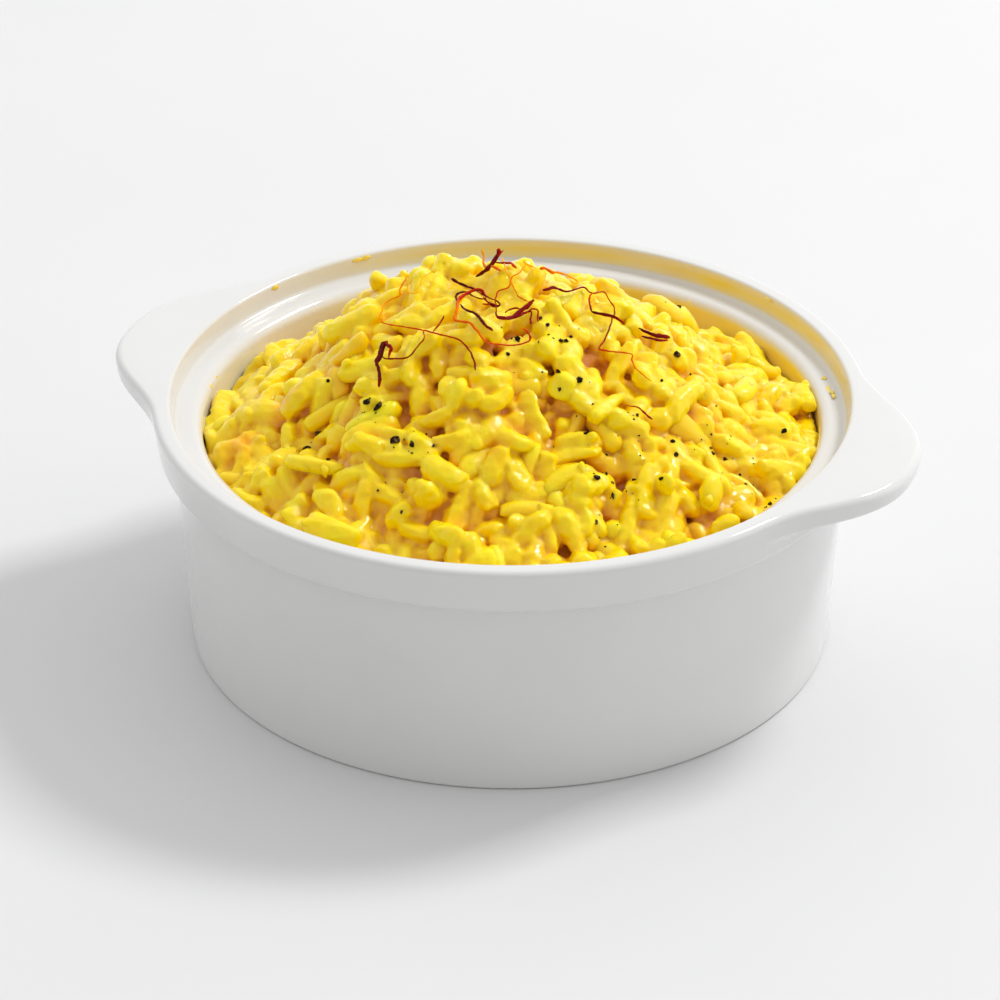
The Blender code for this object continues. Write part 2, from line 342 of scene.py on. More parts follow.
def glazedPorcelain():
    # hard white porcelain under a clear feldspar glaze: bright, smooth and mirror-like at grazing angles,
    # with the faint waviness that a fired glaze keeps, a painted reflection of the yellow rice in the shaded
    # glaze behind the heap, and a drier cream foot ring left bare for firing
    material, tree, shader, place = newMaterial("glazedPorcelain")
    bare = addNode(tree, "ShaderNodeAttribute", attribute_name="bareFoot").outputs["Fac"]
    # painted reflection: how strongly the golden glow of the rice, mirrored in the shaded glaze, is painted
    # in
    paintedReflection = addNode(tree, "ShaderNodeAttribute", attribute_name="paintedReflection").outputs["Fac"]
    tone = addNode(tree, "ShaderNodeTexNoise", {"Vector": place, "Scale": 45.0, "Detail": 3.0})     # 22 mm
    grit = addNode(tree, "ShaderNodeTexNoise", {"Vector": place, "Scale": 2500.0, "Detail": 2.0})   # 0.4 mm
    wave = addNode(tree, "ShaderNodeTexNoise", {"Vector": place, "Scale": 120.0, "Detail": 2.0})    # 8 mm
    clean = addNode(tree, "ShaderNodeValToRGB", {"Fac": tone.outputs["Fac"]},
                    [(0.3, "#DADAD9"), (0.7, "#DDDDDC")])
    # painted reflection of the rice: the glaze colour is mixed towards this gold
    glaze = addNode(tree, "ShaderNodeMix", {0: paintedReflection, 6: clean.outputs["Color"], 7: linearColour("#E8CE30")},
                    data_type="RGBA")
    bisque = addNode(tree, "ShaderNodeValToRGB", {"Fac": grit.outputs["Fac"]},
                     [(0.35, "#D9D2C6"), (0.65, "#E6E0D6")])
    colour = addNode(tree, "ShaderNodeMix", {0: bare, 6: glaze.outputs[2], 7: bisque.outputs["Color"]},
                     data_type="RGBA")
    patch = addNode(tree, "ShaderNodeMapRange", {"Value": tone.outputs["Fac"],
                                                 "To Min": 0.08, "To Max": 0.14})
    rough = addNode(tree, "ShaderNodeMix", {0: bare, 2: patch.outputs["Result"], 3: 0.75})
    bump = addNode(tree, "ShaderNodeBump", {"Height": wave.outputs["Fac"], "Strength": 0.12,
                                            "Distance": 0.0004})
    setInputs(tree, shader, {"Base Color": colour.outputs[2], "Roughness": rough.outputs[0],
                             "Normal": bump.outputs["Normal"], "IOR": 1.5})
    return material


def paintedRiceReflection(points):
    # painted reflection of the yellow rice in the glaze: strongest on the recess and the wall over the rice,
    # on the side behind the heap, and weakened by slow waves
    angle, height = np.arctan2(points[:, 1], points[:, 0]), points[:, 2]
    out = np.hypot(points[:, 0], points[:, 1])
    behind = smootherStep(0.5 + 0.9 * np.cos(angle - math.radians(bowlPlan["paintedReflectionSide"])))
    outside = out > bowlPlan["paintedReflectionDivide"]
    recess = np.interp(height, *bowlPlan["paintedReflectionRecess"]) * outside
    wall = np.interp(height, *bowlPlan["paintedReflectionWall"]) * ~outside
    divide, below, over = bowlPlan["paintedReflectionInside"]
    inside = (out < np.where(height < divide, below, over)) & (height > bowlPlan["wallFoot"][1] - 0.5)
    waves = 0.85 + 0.15 * ripple(points, bowlPlan["paintedReflectionSeed"], bowlPlan["paintedReflectionWaves"])
    return bowlPlan["paintedReflectionShare"] * behind * np.maximum(recess, wall) * inside * waves.clip(0, 1.2)


def makeBowl():
    # a loft: the cross-section, with its lugs growing out of the rim, is carried once round the axis
    angle = np.arange(bowlPlan["roundSteps"]) * 2 * math.pi / bowlPlan["roundSteps"]
    corners, arcSteps, spanSteps = bowlCorners(angle)
    section = roundedSection(corners, arcSteps, spanSteps)
    radius, height = section[:, 1:-1, 0], section[:, 1:-1, 1]
    rows = np.stack([radius * np.cos(angle)[:, None], radius * np.sin(angle)[:, None], height], -1)
    steps, rings = radius.shape
    points = np.concatenate([rows.transpose(1, 0, 2).reshape(-1, 3),
                             [[0, 0, section[0, 0, 1]], [0, 0, section[0, -1, 1]]]])
    top = fanFaces(rings * steps, np.arange(steps))
    under = fanFaces(rings * steps + 1, np.arange(steps)[::-1] + (rings - 1) * steps)
    faces = gridFaces(rings, steps, True)[:, ::-1]
    bareHeight, bareReach = bowlPlan["bareFoot"]
    bare = (np.clip(1 - points[:, 2] / bareHeight, 0, 1)
            * (np.hypot(points[:, 0], points[:, 1]) < bareReach))
    # the bowl carries the painted reflection of the rice as a point attribute
    bowl = makePiece("porcelainBowl", points, [faces, top, under], glazedPorcelain(), "porcelain",
                     {"bareFoot": bare, "paintedReflection": paintedRiceReflection(points)})
    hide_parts("bowl")


heapPlan = {
    "pitch": 1.0,            # spacing of the height map
    "half": 64.0,            # the map reaches this far each way
    "wallClear": 0.7,        # the map is read this far inside the rice's edge
}


def readHeap():
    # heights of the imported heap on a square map: one ray falls on the rice at each place, and beyond
    # the rice's edge the height of the nearest edge point is used
    tree = BVHTree.FromObject(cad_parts["risotto"], bpy.context.evaluated_depsgraph_get())
    edge = riceHigh[1] - heapPlan["wallClear"]
    line = np.arange(-heapPlan["half"], heapPlan["half"] + 0.01, heapPlan["pitch"])
    x, y = np.meshgrid(line, line, indexing="ij")
    pull = np.minimum(1, edge / np.maximum(np.hypot(x, y), 1e-6))
    starts = np.stack([x * pull, y * pull, np.full_like(x, 100)], -1).reshape(-1, 3) / 1000
    down = Vector((0, 0, -1))
    heights = np.array([tree.ray_cast(Vector(start), down)[0].z for start in starts]) * 1000
    return heights.reshape(x.shape)


heapMap = readHeap()


def mapAt(field, pitch, x, y):
    # value of a square map centred on the axis at any places: bilinear between the four nearest points
    half = (len(field) - 1) * pitch / 2
    u = np.clip((x + half) / pitch, 0, len(field) - 1.001)
    v = np.clip((y + half) / pitch, 0, len(field) - 1.001)
    i, j = u.astype(int), v.astype(int)
    s, t = u - i, v - j
    return ((field[i, j] * (1 - s) + field[i + 1, j] * s) * (1 - t)
            + (field[i, j + 1] * (1 - s) + field[i + 1, j + 1] * s) * t)


def heapAt(x, y):
    return mapAt(heapMap, heapPlan["pitch"], x, y)


def heapNormal(x, y, reach=2.5):
    # unit normals of the heap from height differences over twice the reach
    slopeX = (heapAt(x + reach, y) - heapAt(x - reach, y)) / (2 * reach)
    slopeY = (heapAt(x, y + reach) - heapAt(x, y - reach)) / (2 * reach)
    normal = np.stack([-slopeX, -slopeY, np.ones_like(slopeX)], -1)
    return normal / np.linalg.norm(normal, axis=-1, keepdims=True)


def wallRadius(height):
    # inner radius of the bowl at each height: the leaning wall, then the ledge, then the recess
    foot, top, ledge = bowlPlan["wallFoot"], bowlPlan["wallTop"], bowlPlan["ledge"]
    wall = foot[0] + (top[0] - foot[0]) * (height - foot[1]) / (top[1] - foot[1])
    over = np.interp(height, [top[1], top[1] + ledge[0]], [top[0], ledge[1]])
    return np.where(height < top[1], wall, over)


grainPlan = {
    "seed": 11,
    "length": 9.7, "width": 4.5, "thickness": 4.0,    # a cooked short grain
    "spread": 0.17,                                   # how much sizes vary
    "layers": (2.2, 5.0),                             # depth of each layer's middle under the heap
    "perLayer": 420, "spiralRadius": 55.0, "depthSpread": 0.7,
    "layerTurn": 2.1, "bearingSpread": 0.05,          # radians between two layers, and of each grain's place
    "sizeLimits": (0.72, 1.3), "brokenLength": (0.55, 0.8),
    "brokenShare": 0.26,                              # share of broken, shorter grains
    "bareShare": 0.14,                                # share of grains that stand out of the cream
    "tilt": 36.0,                                     # degrees that grains lean out of the slope
    "clumpHeight": 1.9, "clumpSize": (9.0, 24.0), "clumpSeed": 21,    # clumps and dips under the grains
    "ripple": 0.12, "rippleSize": (1.4, 3.0), "rippleSeed": 9, "tintSeed": 5,
    "rise": (-1.4, 1.0), "riseLimits": (-3.4, 0.8),   # how far grains may stand over that level
    "settleRounds": 60,
    "grid": (8, 10), "fineGrid": (10, 12),            # steps along and around a covered and a bare grain
    "packing": 0.72,                                  # share of touching distance that grains keep
    "pairs": 42.0,                                    # squared distance within which balls may touch
    "bedDepth": 6.0,                                  # grains stay within this depth of the level
    "pushApart": 0.4, "pushLevel": 0.5, "pushWall": 0.7, "turning": 0.6,    # shares of each correction
    # ranges that a grain's shape is drawn from: bluntness of its ends and body, lumps, waves, taper, notch
    # and bend; then the spread of its roll in radians
    "endPower": (0.38, 1.0), "bodyPower": (0.5, 0.85), "lump": (0.03, 0.12), "lumpWave": (2.0, 3.6),
    "swelling": (0.02, 0.08), "swellingWave": (3.4, 5.2), "taper": (-0.14, 0.24), "notch": (0, 0.25),
    "bend": (-0.14, 0.30), "phase": (0, 6.3), "roll": 0.8,
}


def unit(vectors):
    return vectors / np.maximum(np.linalg.norm(vectors, axis=-1, keepdims=True), 1e-9)


def ripple(points, seed, waveLengths, count=14):
    # a smooth irregular field from about -1 to 1: plane waves in random directions, added up
    chance = np.random.default_rng(seed)
    way = unit(chance.normal(0, 1, (count, points.shape[1])))
    way = way * (2 * math.pi / chance.uniform(*waveLengths, (count, 1)))
    return np.sin(points @ way.T + chance.uniform(0, 2 * math.pi, count)).sum(1) / math.sqrt(count)


def riceTop(x, y):
    # the level that the grains may reach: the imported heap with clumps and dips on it
    clumps = ripple(np.stack([x, y], -1), grainPlan["clumpSeed"], grainPlan["clumpSize"])
    return heapAt(x, y) + grainPlan["clumpHeight"] * clumps


def scatterGrains(chance):
    # places on one sunflower spiral for each layer, each grain leaning at random out of the slope
    count = grainPlan["perLayer"] * len(grainPlan["layers"])
    layer = np.arange(count) // grainPlan["perLayer"]
    order = np.arange(count) % grainPlan["perLayer"]
    radius = grainPlan["spiralRadius"] * np.sqrt((order + 0.5) / grainPlan["perLayer"])
    bearing = (order * math.pi * (3 - math.sqrt(5)) + layer * grainPlan["layerTurn"]
               + chance.normal(0, grainPlan["bearingSpread"], count))
    x, y = radius * np.cos(bearing), radius * np.sin(bearing)
    normal = heapNormal(x, y)
    turn = chance.uniform(0, 2 * math.pi, count)
    level = np.stack([np.cos(turn), np.sin(turn), np.zeros(count)], -1)
    along = unit(level - (level * normal).sum(-1, keepdims=True) * normal)
    lean = np.radians(chance.normal(0, grainPlan["tilt"], count))[:, None]
    axis = along * np.cos(lean) + normal * np.sin(lean)
    broken = chance.random(count) < grainPlan["brokenShare"]
    scale = chance.normal(1, grainPlan["spread"], (count, 3)).clip(*grainPlan["sizeLimits"])
    sizes = np.array([grainPlan["length"], grainPlan["width"], grainPlan["thickness"]]) * scale
    sizes[broken, 0] *= chance.uniform(*grainPlan["brokenLength"], broken.sum())
    depth = np.array(grainPlan["layers"])[layer] + chance.normal(0, grainPlan["depthSpread"], count)
    centre = np.stack([x, y, riceTop(x, y) - depth], -1)
    allowance = chance.normal(*grainPlan["rise"], count).clip(*grainPlan["riseLimits"])
    bare = chance.random(count) < grainPlan["bareShare"]
    return {"centre": centre, "axis": axis, "size": sizes, "allowance": allowance, "broken": broken,
            "bare": bare}


def settle(grains, rounds):
    # three balls stand for each grain: balls of different grains that overlap push each other apart, each
    # ball is kept under the heap's surface, give or take the grain's own allowance, over the bed and inside
    # the bowl's wall; each grain moves with the mean of its balls and turns with the difference of its ends
    centres, axes, sizes = grains["centre"], grains["axis"], grains["size"]
    arm = (sizes[:, 0] - sizes[:, 1]).clip(0.6) / 2
    ballSize = np.repeat((sizes[:, 1] + sizes[:, 2]) / 4, 3)
    allowance = np.repeat(grains["allowance"], 3)
    steps = np.array([-1, 0, 1])
    owner = np.repeat(np.arange(len(centres)), 3)
    for step in range(rounds):
        balls = (centres[:, None] + axes[:, None] * (arm[:, None] * steps)[..., None]).reshape(-1, 3)
        if step % 8 == 0:
            flat = balls.astype(np.float32)
            gaps = ((flat[:, None] - flat[None]) ** 2).sum(-1)
            first, second = np.nonzero((gaps < grainPlan["pairs"]) & (owner[:, None] < owner[None]))
        apart = balls[first] - balls[second]
        distance = np.maximum(np.linalg.norm(apart, axis=-1), 1e-6)
        overlap = (ballSize[first] + ballSize[second]) * grainPlan["packing"] - distance
        push = apart / distance[:, None] * (overlap.clip(0) * grainPlan["pushApart"])[:, None]
        moves = np.stack([np.bincount(first, part, len(balls)) - np.bincount(second, part, len(balls))
                          for part in push.T], -1)
        surface = riceTop(balls[:, 0], balls[:, 1])
        above = (balls[:, 2] + ballSize - surface - allowance).clip(0)
        below = (surface - grainPlan["bedDepth"] - balls[:, 2]).clip(0)
        moves[:, 2] += (below - above) * grainPlan["pushLevel"]
        out = np.hypot(balls[:, 0], balls[:, 1])
        excess = (out - (wallRadius(balls[:, 2]) - ballSize * 0.9)).clip(0)
        moves[:, :2] -= balls[:, :2] / out[:, None] * excess[:, None] * grainPlan["pushWall"]
        moves = moves.reshape(-1, 3, 3)
        centres = centres + moves.mean(1)
        axes = unit(axes + (moves[:, 2] - moves[:, 0]) / (2 * arm)[:, None] * grainPlan["turning"])
    return {**grains, "centre": centres, "axis": axes}


def grainShapes(grains, chance, along, around, swell=0.0):
    # a grain is a superellipsoid: along its axis x = cos(u)^p, across it r = sin(u)^q, each end with its own
    # bluntness; slow waves make it lumpy, a parabola bends it, and one side near an end is notched
    count = len(grains["centre"])
    u = np.linspace(0, math.pi, along + 1)[None, :, None]
    v = (np.arange(around) * 2 * math.pi / around)[None, None, :]
    draw = lambda name: chance.uniform(*grainPlan[name], (count, 1, 1))
    firstEnd, secondEnd, bodyPower = draw("endPower"), draw("endPower"), draw("bodyPower")
    endPower = np.where(u < math.pi / 2, firstEnd, secondEnd)
    x = np.sign(np.cos(u)) * np.abs(np.cos(u)) ** endPower
    lumps = 1 + (draw("lump") * np.cos(draw("lumpWave") * u + draw("phase"))
                 * np.cos(2 * v + draw("phase")))
    lumps = lumps + draw("swelling") * np.sin(draw("swellingWave") * u + draw("phase"))
    lumps = lumps + draw("swelling") * np.cos(3 * v + draw("phase") + u)
    taper = 1 - draw("taper") * x
    radius = np.sin(u).clip(0) ** bodyPower * taper * lumps
    half = (grains["size"] / 2 + swell)[:, None, None]
    notch = (draw("notch") * np.exp(-((u - math.pi * 0.86) / 0.25) ** 2)
             * np.cos(v + draw("phase")).clip(0))
    radius = radius * (1 - notch)
    bend = draw("bend") * half[..., 0] * (0.5 - x ** 2)
    across = half[..., 1] * radius * np.cos(v) + bend
    upward = half[..., 2] * radius * np.sin(v)
    lengthwise = half[..., 0] * x + np.zeros_like(across)
    normal = heapNormal(grains["centre"][:, 0], grains["centre"][:, 1])
    axis = grains["axis"]
    side = unit(np.cross(normal, axis))
    roll = chance.normal(0, grainPlan["roll"], (count, 1))
    rise = np.cross(axis, side)
    side, rise = side * np.cos(roll) + rise * np.sin(roll), rise * np.cos(roll) - side * np.sin(roll)
    local = np.stack([lengthwise, across, upward], -1)
    points = (grains["centre"][:, None, None] + local[..., :1] * axis[:, None, None]
              + local[..., 1:2] * side[:, None, None] + local[..., 2:] * rise[:, None, None])
    return points


def grainMesh(points):
    # rings between the two poles of each grain, and its poles, as one array with the faces of all grains
    count, rings, around = points.shape[:3]
    poles = points[:, [0, -1], 0]
    inner = points[:, 1:-1].reshape(count, -1, 3)
    each = inner.shape[1] + 2
    flat = np.concatenate([inner, poles], 1).reshape(-1, 3)
    quads = gridFaces(rings - 2, around, True)
    ring = np.arange(around)
    caps = np.concatenate([fanFaces(each - 2, ring[::-1]), fanFaces(each - 1, ring + (rings - 3) * around)])
    shift = (np.arange(count) * each)[:, None, None]
    return flat, [(quads[None] + shift).reshape(-1, 4), (caps[None] + shift).reshape(-1, 3)]


levelPlan = {
    "half": 58.0, "pitch": 0.5,        # the square map of levels
    "blur": 4,                         # cells each way that are averaged, twice over
    "start": -1.0, "range": 4.0,       # depth where the painted shade starts to deepen the colour, and over which it does
}


def levelCells(places):
    cells = int(2 * levelPlan["half"] / levelPlan["pitch"])
    return ((places + levelPlan["half"]) / levelPlan["pitch"]).round().astype(int).clip(0, cells)


def boxBlur(field, reach):
    # the mean of the cells within reach each way, as the difference of two running totals
    for axis in (0, 1):
        wide = np.pad(field, [(reach + 1, reach) if k == axis else (0, 0) for k in (0, 1)], mode="edge")
        total = np.cumsum(wide, axis)
        order = np.arange(field.shape[axis])
        field = (np.take(total, order + 2 * reach + 1, axis) - np.take(total, order, axis)) / (2 * reach + 1)
    return field


def highest(field, reach):
    # each cell takes the highest value within reach
    for axis in (0, 1):
        field = np.max([np.roll(field, shift, axis) for shift in range(-reach, reach + 1)], 0)
    return field


def readLevels(points):
    # the highest point of the rice in each cell of the map
    line = np.arange(-levelPlan["half"], levelPlan["half"] + 0.01, levelPlan["pitch"])
    x, y = np.meshgrid(line, line, indexing="ij")
    top = heapAt(x, y) - 4.0
    np.maximum.at(top, (levelCells(points[:, 0]), levelCells(points[:, 1])), points[:, 2])
    return top


def paintedShadeShare(points, levels):
    # how far a point lies under the mean level around it: 0 on top, 1 deep between grains; this sets the
    # painted shade between the grains
    level = levels[levelCells(points[:, 0]), levelCells(points[:, 1])]
    return ((level - points[:, 2] - levelPlan["start"]) / levelPlan["range"]).clip(0, 1)


def cookedRice(name):
    # cooked short-grain rice soaked in saffron broth and coated with melted butter and cheese:
    # a waxy, slightly see-through yellow; deep between the grains its colour is painted orange as painted
    # shade
    material, tree, shader, place = newMaterial(name)
    depth, tint, bled = [addNode(tree, "ShaderNodeAttribute", attribute_name=layer).outputs["Fac"]
                         for layer in ("depth", "tint", "stain")]
    # patterns of 16, 2.4, 8 and 1.2 mm
    stain, mottle, patch, fine = [
        addNode(tree, "ShaderNodeTexNoise",
                {"Vector": place, "Scale": scale, "Detail": detail}).outputs["Fac"]
        for scale, detail in ((60.0, 2.0), (420.0, 3.0), (130.0, 1.0), (850.0, 3.0))]
    tone = addNode(tree, "ShaderNodeMath", {0: tint, 1: 0.3}, operation="MULTIPLY")
    broad = addNode(tree, "ShaderNodeMath", {0: patch, 1: 0.4, 2: tone.outputs[0]}, operation="MULTIPLY_ADD")
    mixed = addNode(tree, "ShaderNodeMath", {0: mottle, 1: 0.3, 2: broad.outputs[0]},
                    operation="MULTIPLY_ADD")
    skin = addNode(tree, "ShaderNodeValToRGB", {"Fac": mixed.outputs[0]},
                   [(0.3, "#FFCA02"), (0.5, "#FFDC00"), (0.7, "#FFEA0C")])
    # painted shade: the deeper a point lies between the grains, the further along this orange-to-brown ramp
    # its colour goes, varied by a slow noise
    paintedShadeDepth = addNode(tree, "ShaderNodeMath", {0: stain, 1: -0.5, 2: depth}, operation="MULTIPLY_ADD")
    inside = addNode(tree, "ShaderNodeValToRGB", {"Fac": paintedShadeDepth.outputs[0]},
                     [(0.0, "#F8BC08"), (0.35, "#EAA614"), (0.75, "#D68824")])
    # painted shade: past this depth the skin colour gives way to the painted crevice shade
    reach = addNode(tree, "ShaderNodeMapRange", {"Value": depth, "From Min": 0.22, "From Max": 0.9,
                                                 "To Min": 0.0, "To Max": 1.0})
    colour = addNode(tree, "ShaderNodeMix", {0: reach.outputs["Result"], 6: skin.outputs["Color"],
                                             7: inside.outputs["Color"]}, data_type="RGBA")
    stained = addNode(tree, "ShaderNodeMix", {0: bled, 6: colour.outputs[2], 7: linearColour("#F08A08")},
                      data_type="RGBA")
    wet = addNode(tree, "ShaderNodeMapRange", {"Value": mottle, "To Min": 0.22, "To Max": 0.42})
    crinkle = addNode(tree, "ShaderNodeMapRange", {"Value": patch, "From Min": 0.42, "From Max": 0.6,
                                                   "To Min": 0.35, "To Max": 1.2})
    height = addNode(tree, "ShaderNodeMath", {0: fine, 1: crinkle.outputs["Result"]}, operation="MULTIPLY")
    faint, strong = [addNode(tree, "ShaderNodeBump", {"Height": height.outputs[0], "Strength": strength,
                                                      "Distance": 0.0005}).outputs["Normal"]
                     for strength in (0.2, 1.0)]
    setInputs(tree, shader, {
        "Base Color": stained.outputs[2], "Roughness": wet.outputs["Result"], "Normal": faint,
        "Coat Normal": strong, "IOR": 1.42, "Specular IOR Level": 0.05, "Subsurface Weight": 0.5,
        "Subsurface Radius": (1.0, 0.96, 0.45), "Subsurface Scale": 0.0013, "Coat Weight": 1.0,
        "Coat Roughness": 0.04, "Coat IOR": 1.4})
    return material


def makeGrains(grains, top, levels):
    # the grains that stand out of the cream; the covered ones are in the cream's own shape
    along, around = grainPlan["fineGrid"]
    shapes = grainShapes(grains, np.random.default_rng(grainPlan["seed"]), along, around)
    ripples = ripple(shapes.reshape(-1, 3), grainPlan["rippleSeed"], grainPlan["rippleSize"])
    shapes += grainPlan["ripple"] * ripples.reshape(*shapes.shape[:3], 1)
    material = cookedRice("cookedSaffronRice")
    pieces = []
    for name, chosen in {"riceWhole": ~grains["broken"], "riceBroken": grains["broken"]}.items():
        points, faceSets = grainMesh(shapes[chosen & grains["bare"]])
        each = (along - 1) * around + 2
        tint = np.repeat(np.random.default_rng(grainPlan["tintSeed"]).random(len(points) // each), each)
        # the depth attribute carries the painted shade between the grains
        piece = makePiece(name, points, faceSets, material, "saffron_rice",
                          {"depth": paintedShadeShare(points, levels), "tint": tint})
        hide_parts("risotto")
        pieces.append(piece)
        top = np.maximum(top, readLevels(points))
    return pieces, top


bitPlan = {
    "seed": 4,
    "count": 420,
    "size": (1.0, 2.6),      # crumbs of grains in the cream
    "shapeSeed": 8, "grid": (6, 8),
}


def crumbs(points):
    # crumbs of broken grain that sit on the grains: small ellipsoids at places drawn from the grains' skin
    chance = np.random.default_rng(bitPlan["seed"])
    centre = points[chance.choice(len(points), bitPlan["count"], replace=False)]
    size = chance.uniform(*bitPlan["size"], (bitPlan["count"], 3))
    axis = unit(chance.normal(0, 1, (bitPlan["count"], 3)))
    return {"centre": centre, "axis": axis, "size": size}


creamPlan = {
    "voxel": 0.34,           # finest detail of the cream
    "coatSeed": 3, "rippleSeed": 9,
    "smoothing": 1,          # rounds of smoothing, which fill the creases between the grains
    "coat": (-0.13, 0.09),   # how far the cream stands out of a covered grain's skin before it is smoothed
    "bareCoat": -0.2,        # the same for a bare grain
    "triangles": 190000,     # the cream is thinned to about this many where it is flat
    "bedDepth": 6.5,         # the solid bed under the grains starts this far down
    "bedRise": 3.6,          # the bed comes up by this much at the wall, so that no deep gap is left there
    "rippleSize": (0.9, 3.2), "rippleHeight": 0.13,
    # where a thread has bled orange into the rice: place from above, reach in mm and strength
    "stains": [(-41, -28, 3, 0.55), (-35.5, -21.5, 2, 0.5), (8.5, -31, 2, 0.4), (14, 18, 2, 0.4)],
    "skirt": 30.0,           # height where the fine surface ends; plain rings go on down to the floor
    "wallGap": 0.35,
    "bedGrid": (60, 180), "bedTop": 38.0,    # rings and points round the bed, and its height at the wall
    "floorRings": ((4.0, 0.0), (1.3, 1.3), (0.35, 4.2)),    # height over the floor and distance off the wall
}


def bedPoints():
    # the bed under the grains: rings from the middle of the heap out to the wall, and a flat base
    rings, steps = creamPlan["bedGrid"]
    angle = np.arange(steps) * 2 * math.pi / steps
    share = np.linspace(0.01, 1, rings)[:, None]
    radius = (wallRadius(np.full((rings, steps), creamPlan["bedTop"])) - creamPlan["wallGap"]) * share
    x, y = radius * np.cos(angle), radius * np.sin(angle)
    depth = creamPlan["bedDepth"] - creamPlan["bedRise"] * smootherStep((share - 0.88) / 0.1)
    top = np.stack([x, y, heapAt(x, y) - depth], -1).reshape(-1, 3)
    base = creamPlan["skirt"] - 3
    foot = np.stack([x[-1], y[-1], np.full(steps, base)], -1)
    peak = float(heapAt(np.zeros(1), np.zeros(1))[0]) - creamPlan["bedDepth"]
    points = np.concatenate([top, foot, [[0, 0, peak], [0, 0, base]]])
    ring = np.arange(steps)
    fans = np.concatenate([fanFaces(len(points) - 2, ring),
                           fanFaces(len(points) - 1, ring[::-1] + rings * steps)])
    return points, [gridFaces(rings + 1, steps, True)[:, ::-1], fans]


def biggestPart(pointCount, edges):
    # each point takes the lowest number among its neighbours until every connected part has one number
    label = np.arange(pointCount)
    while True:
        lowest = np.minimum(label[edges[:, 0]], label[edges[:, 1]])
        spread = label.copy()
        np.minimum.at(spread, edges[:, 0], lowest)
        np.minimum.at(spread, edges[:, 1], lowest)
        spread = spread[spread]
        if (spread == label).all():
            return label == np.bincount(label).argmax()
        label = spread


def keepFaces(points, faces, wanted):
    # only the wanted faces, with the points that they use numbered anew
    faces = faces[wanted]
    used = np.unique(faces)
    number = np.zeros(len(points), int)
    number[used] = np.arange(len(used))
    return points[used], number[faces]


def meltTogether(name, points, faceSets):
    # a voxel remesh joins everything that overlaps, and smoothing then rounds its creases
    mesh = bpy.data.meshes.new(name)
    mesh.from_pydata(points / 1000, [], [face for faces in faceSets for face in faces.tolist()])
    source = addObject(name, mesh)
    remesh = source.modifiers.new("join", "REMESH")
    remesh.mode = "VOXEL"
    remesh.voxel_size = creamPlan["voxel"] / 1000
    smooth = source.modifiers.new("melt", "SMOOTH")
    smooth.factor = 0.5
    smooth.iterations = creamPlan["smoothing"]
    melted = source.evaluated_get(bpy.context.evaluated_depsgraph_get()).to_mesh()
    arrays = []
    for layer, field, width, kind in ((melted.vertices, "co", 3, np.float32),
                                      (melted.vertex_normals, "vector", 3, np.float32),
                                      (melted.edges, "vertices", 2, np.int32),
                                      (melted.loops, "vertex_index", 1, np.int32)):
        values = np.empty(len(layer) * width, kind)
        layer.foreach_get(field, values)
        arrays.append(values)
    bpy.data.objects.remove(source)
    places, normals, edges, corners = arrays
    return (places.reshape(-1, 3) * 1000.0, normals.reshape(-1, 3), edges.reshape(-1, 2),
            corners.reshape(-1, 4))


def closeUnderneath(points, faces):
    # plain rings carry the open lower edge down the wall and round the floor's corner to the middle
    sides = np.stack([faces, np.roll(faces, -1, 1)], -1).reshape(-1, 2)
    keys = np.sort(sides, 1) @ np.array([len(points), 1])
    keys, counts = np.unique(keys, return_counts=True)
    openSides = keys[counts == 1]
    edge = np.unique(np.concatenate([openSides // len(points), openSides % len(points)]))
    angle = np.arctan2(points[edge, 1], points[edge, 0])
    edge, angle = edge[np.argsort(angle)], np.sort(angle)
    floor = bowlPlan["wallFoot"][1]
    rings = [(creamPlan["skirt"] - 2.0, 0.0)]
    rings += [(floor + over, inset) for over, inset in creamPlan["floorRings"]]
    blocks, start = [points], len(points)
    for height, inset in rings:
        radius = float(wallRadius(np.array(max(height, floor + 2.0)))) - creamPlan["wallGap"] - inset
        blocks.append(np.stack([radius * np.cos(angle), radius * np.sin(angle),
                                np.full(len(angle), height)], -1))
    blocks.append([[0, 0, rings[-1][0]]])
    ringNumbers = start + np.arange(len(rings) * len(edge)).reshape(len(rings), -1)
    ringNumbers = np.concatenate([edge[None], ringNumbers])
    quads = np.stack([ringNumbers[:-1], ringNumbers[1:], np.roll(ringNumbers[1:], -1, 1),
                      np.roll(ringNumbers[:-1], -1, 1)], -1).reshape(-1, 4)
    bottom = fanFaces(start + len(rings) * len(edge), ringNumbers[-1][::-1])
    return np.concatenate(blocks), [np.concatenate([faces, quads]), bottom]


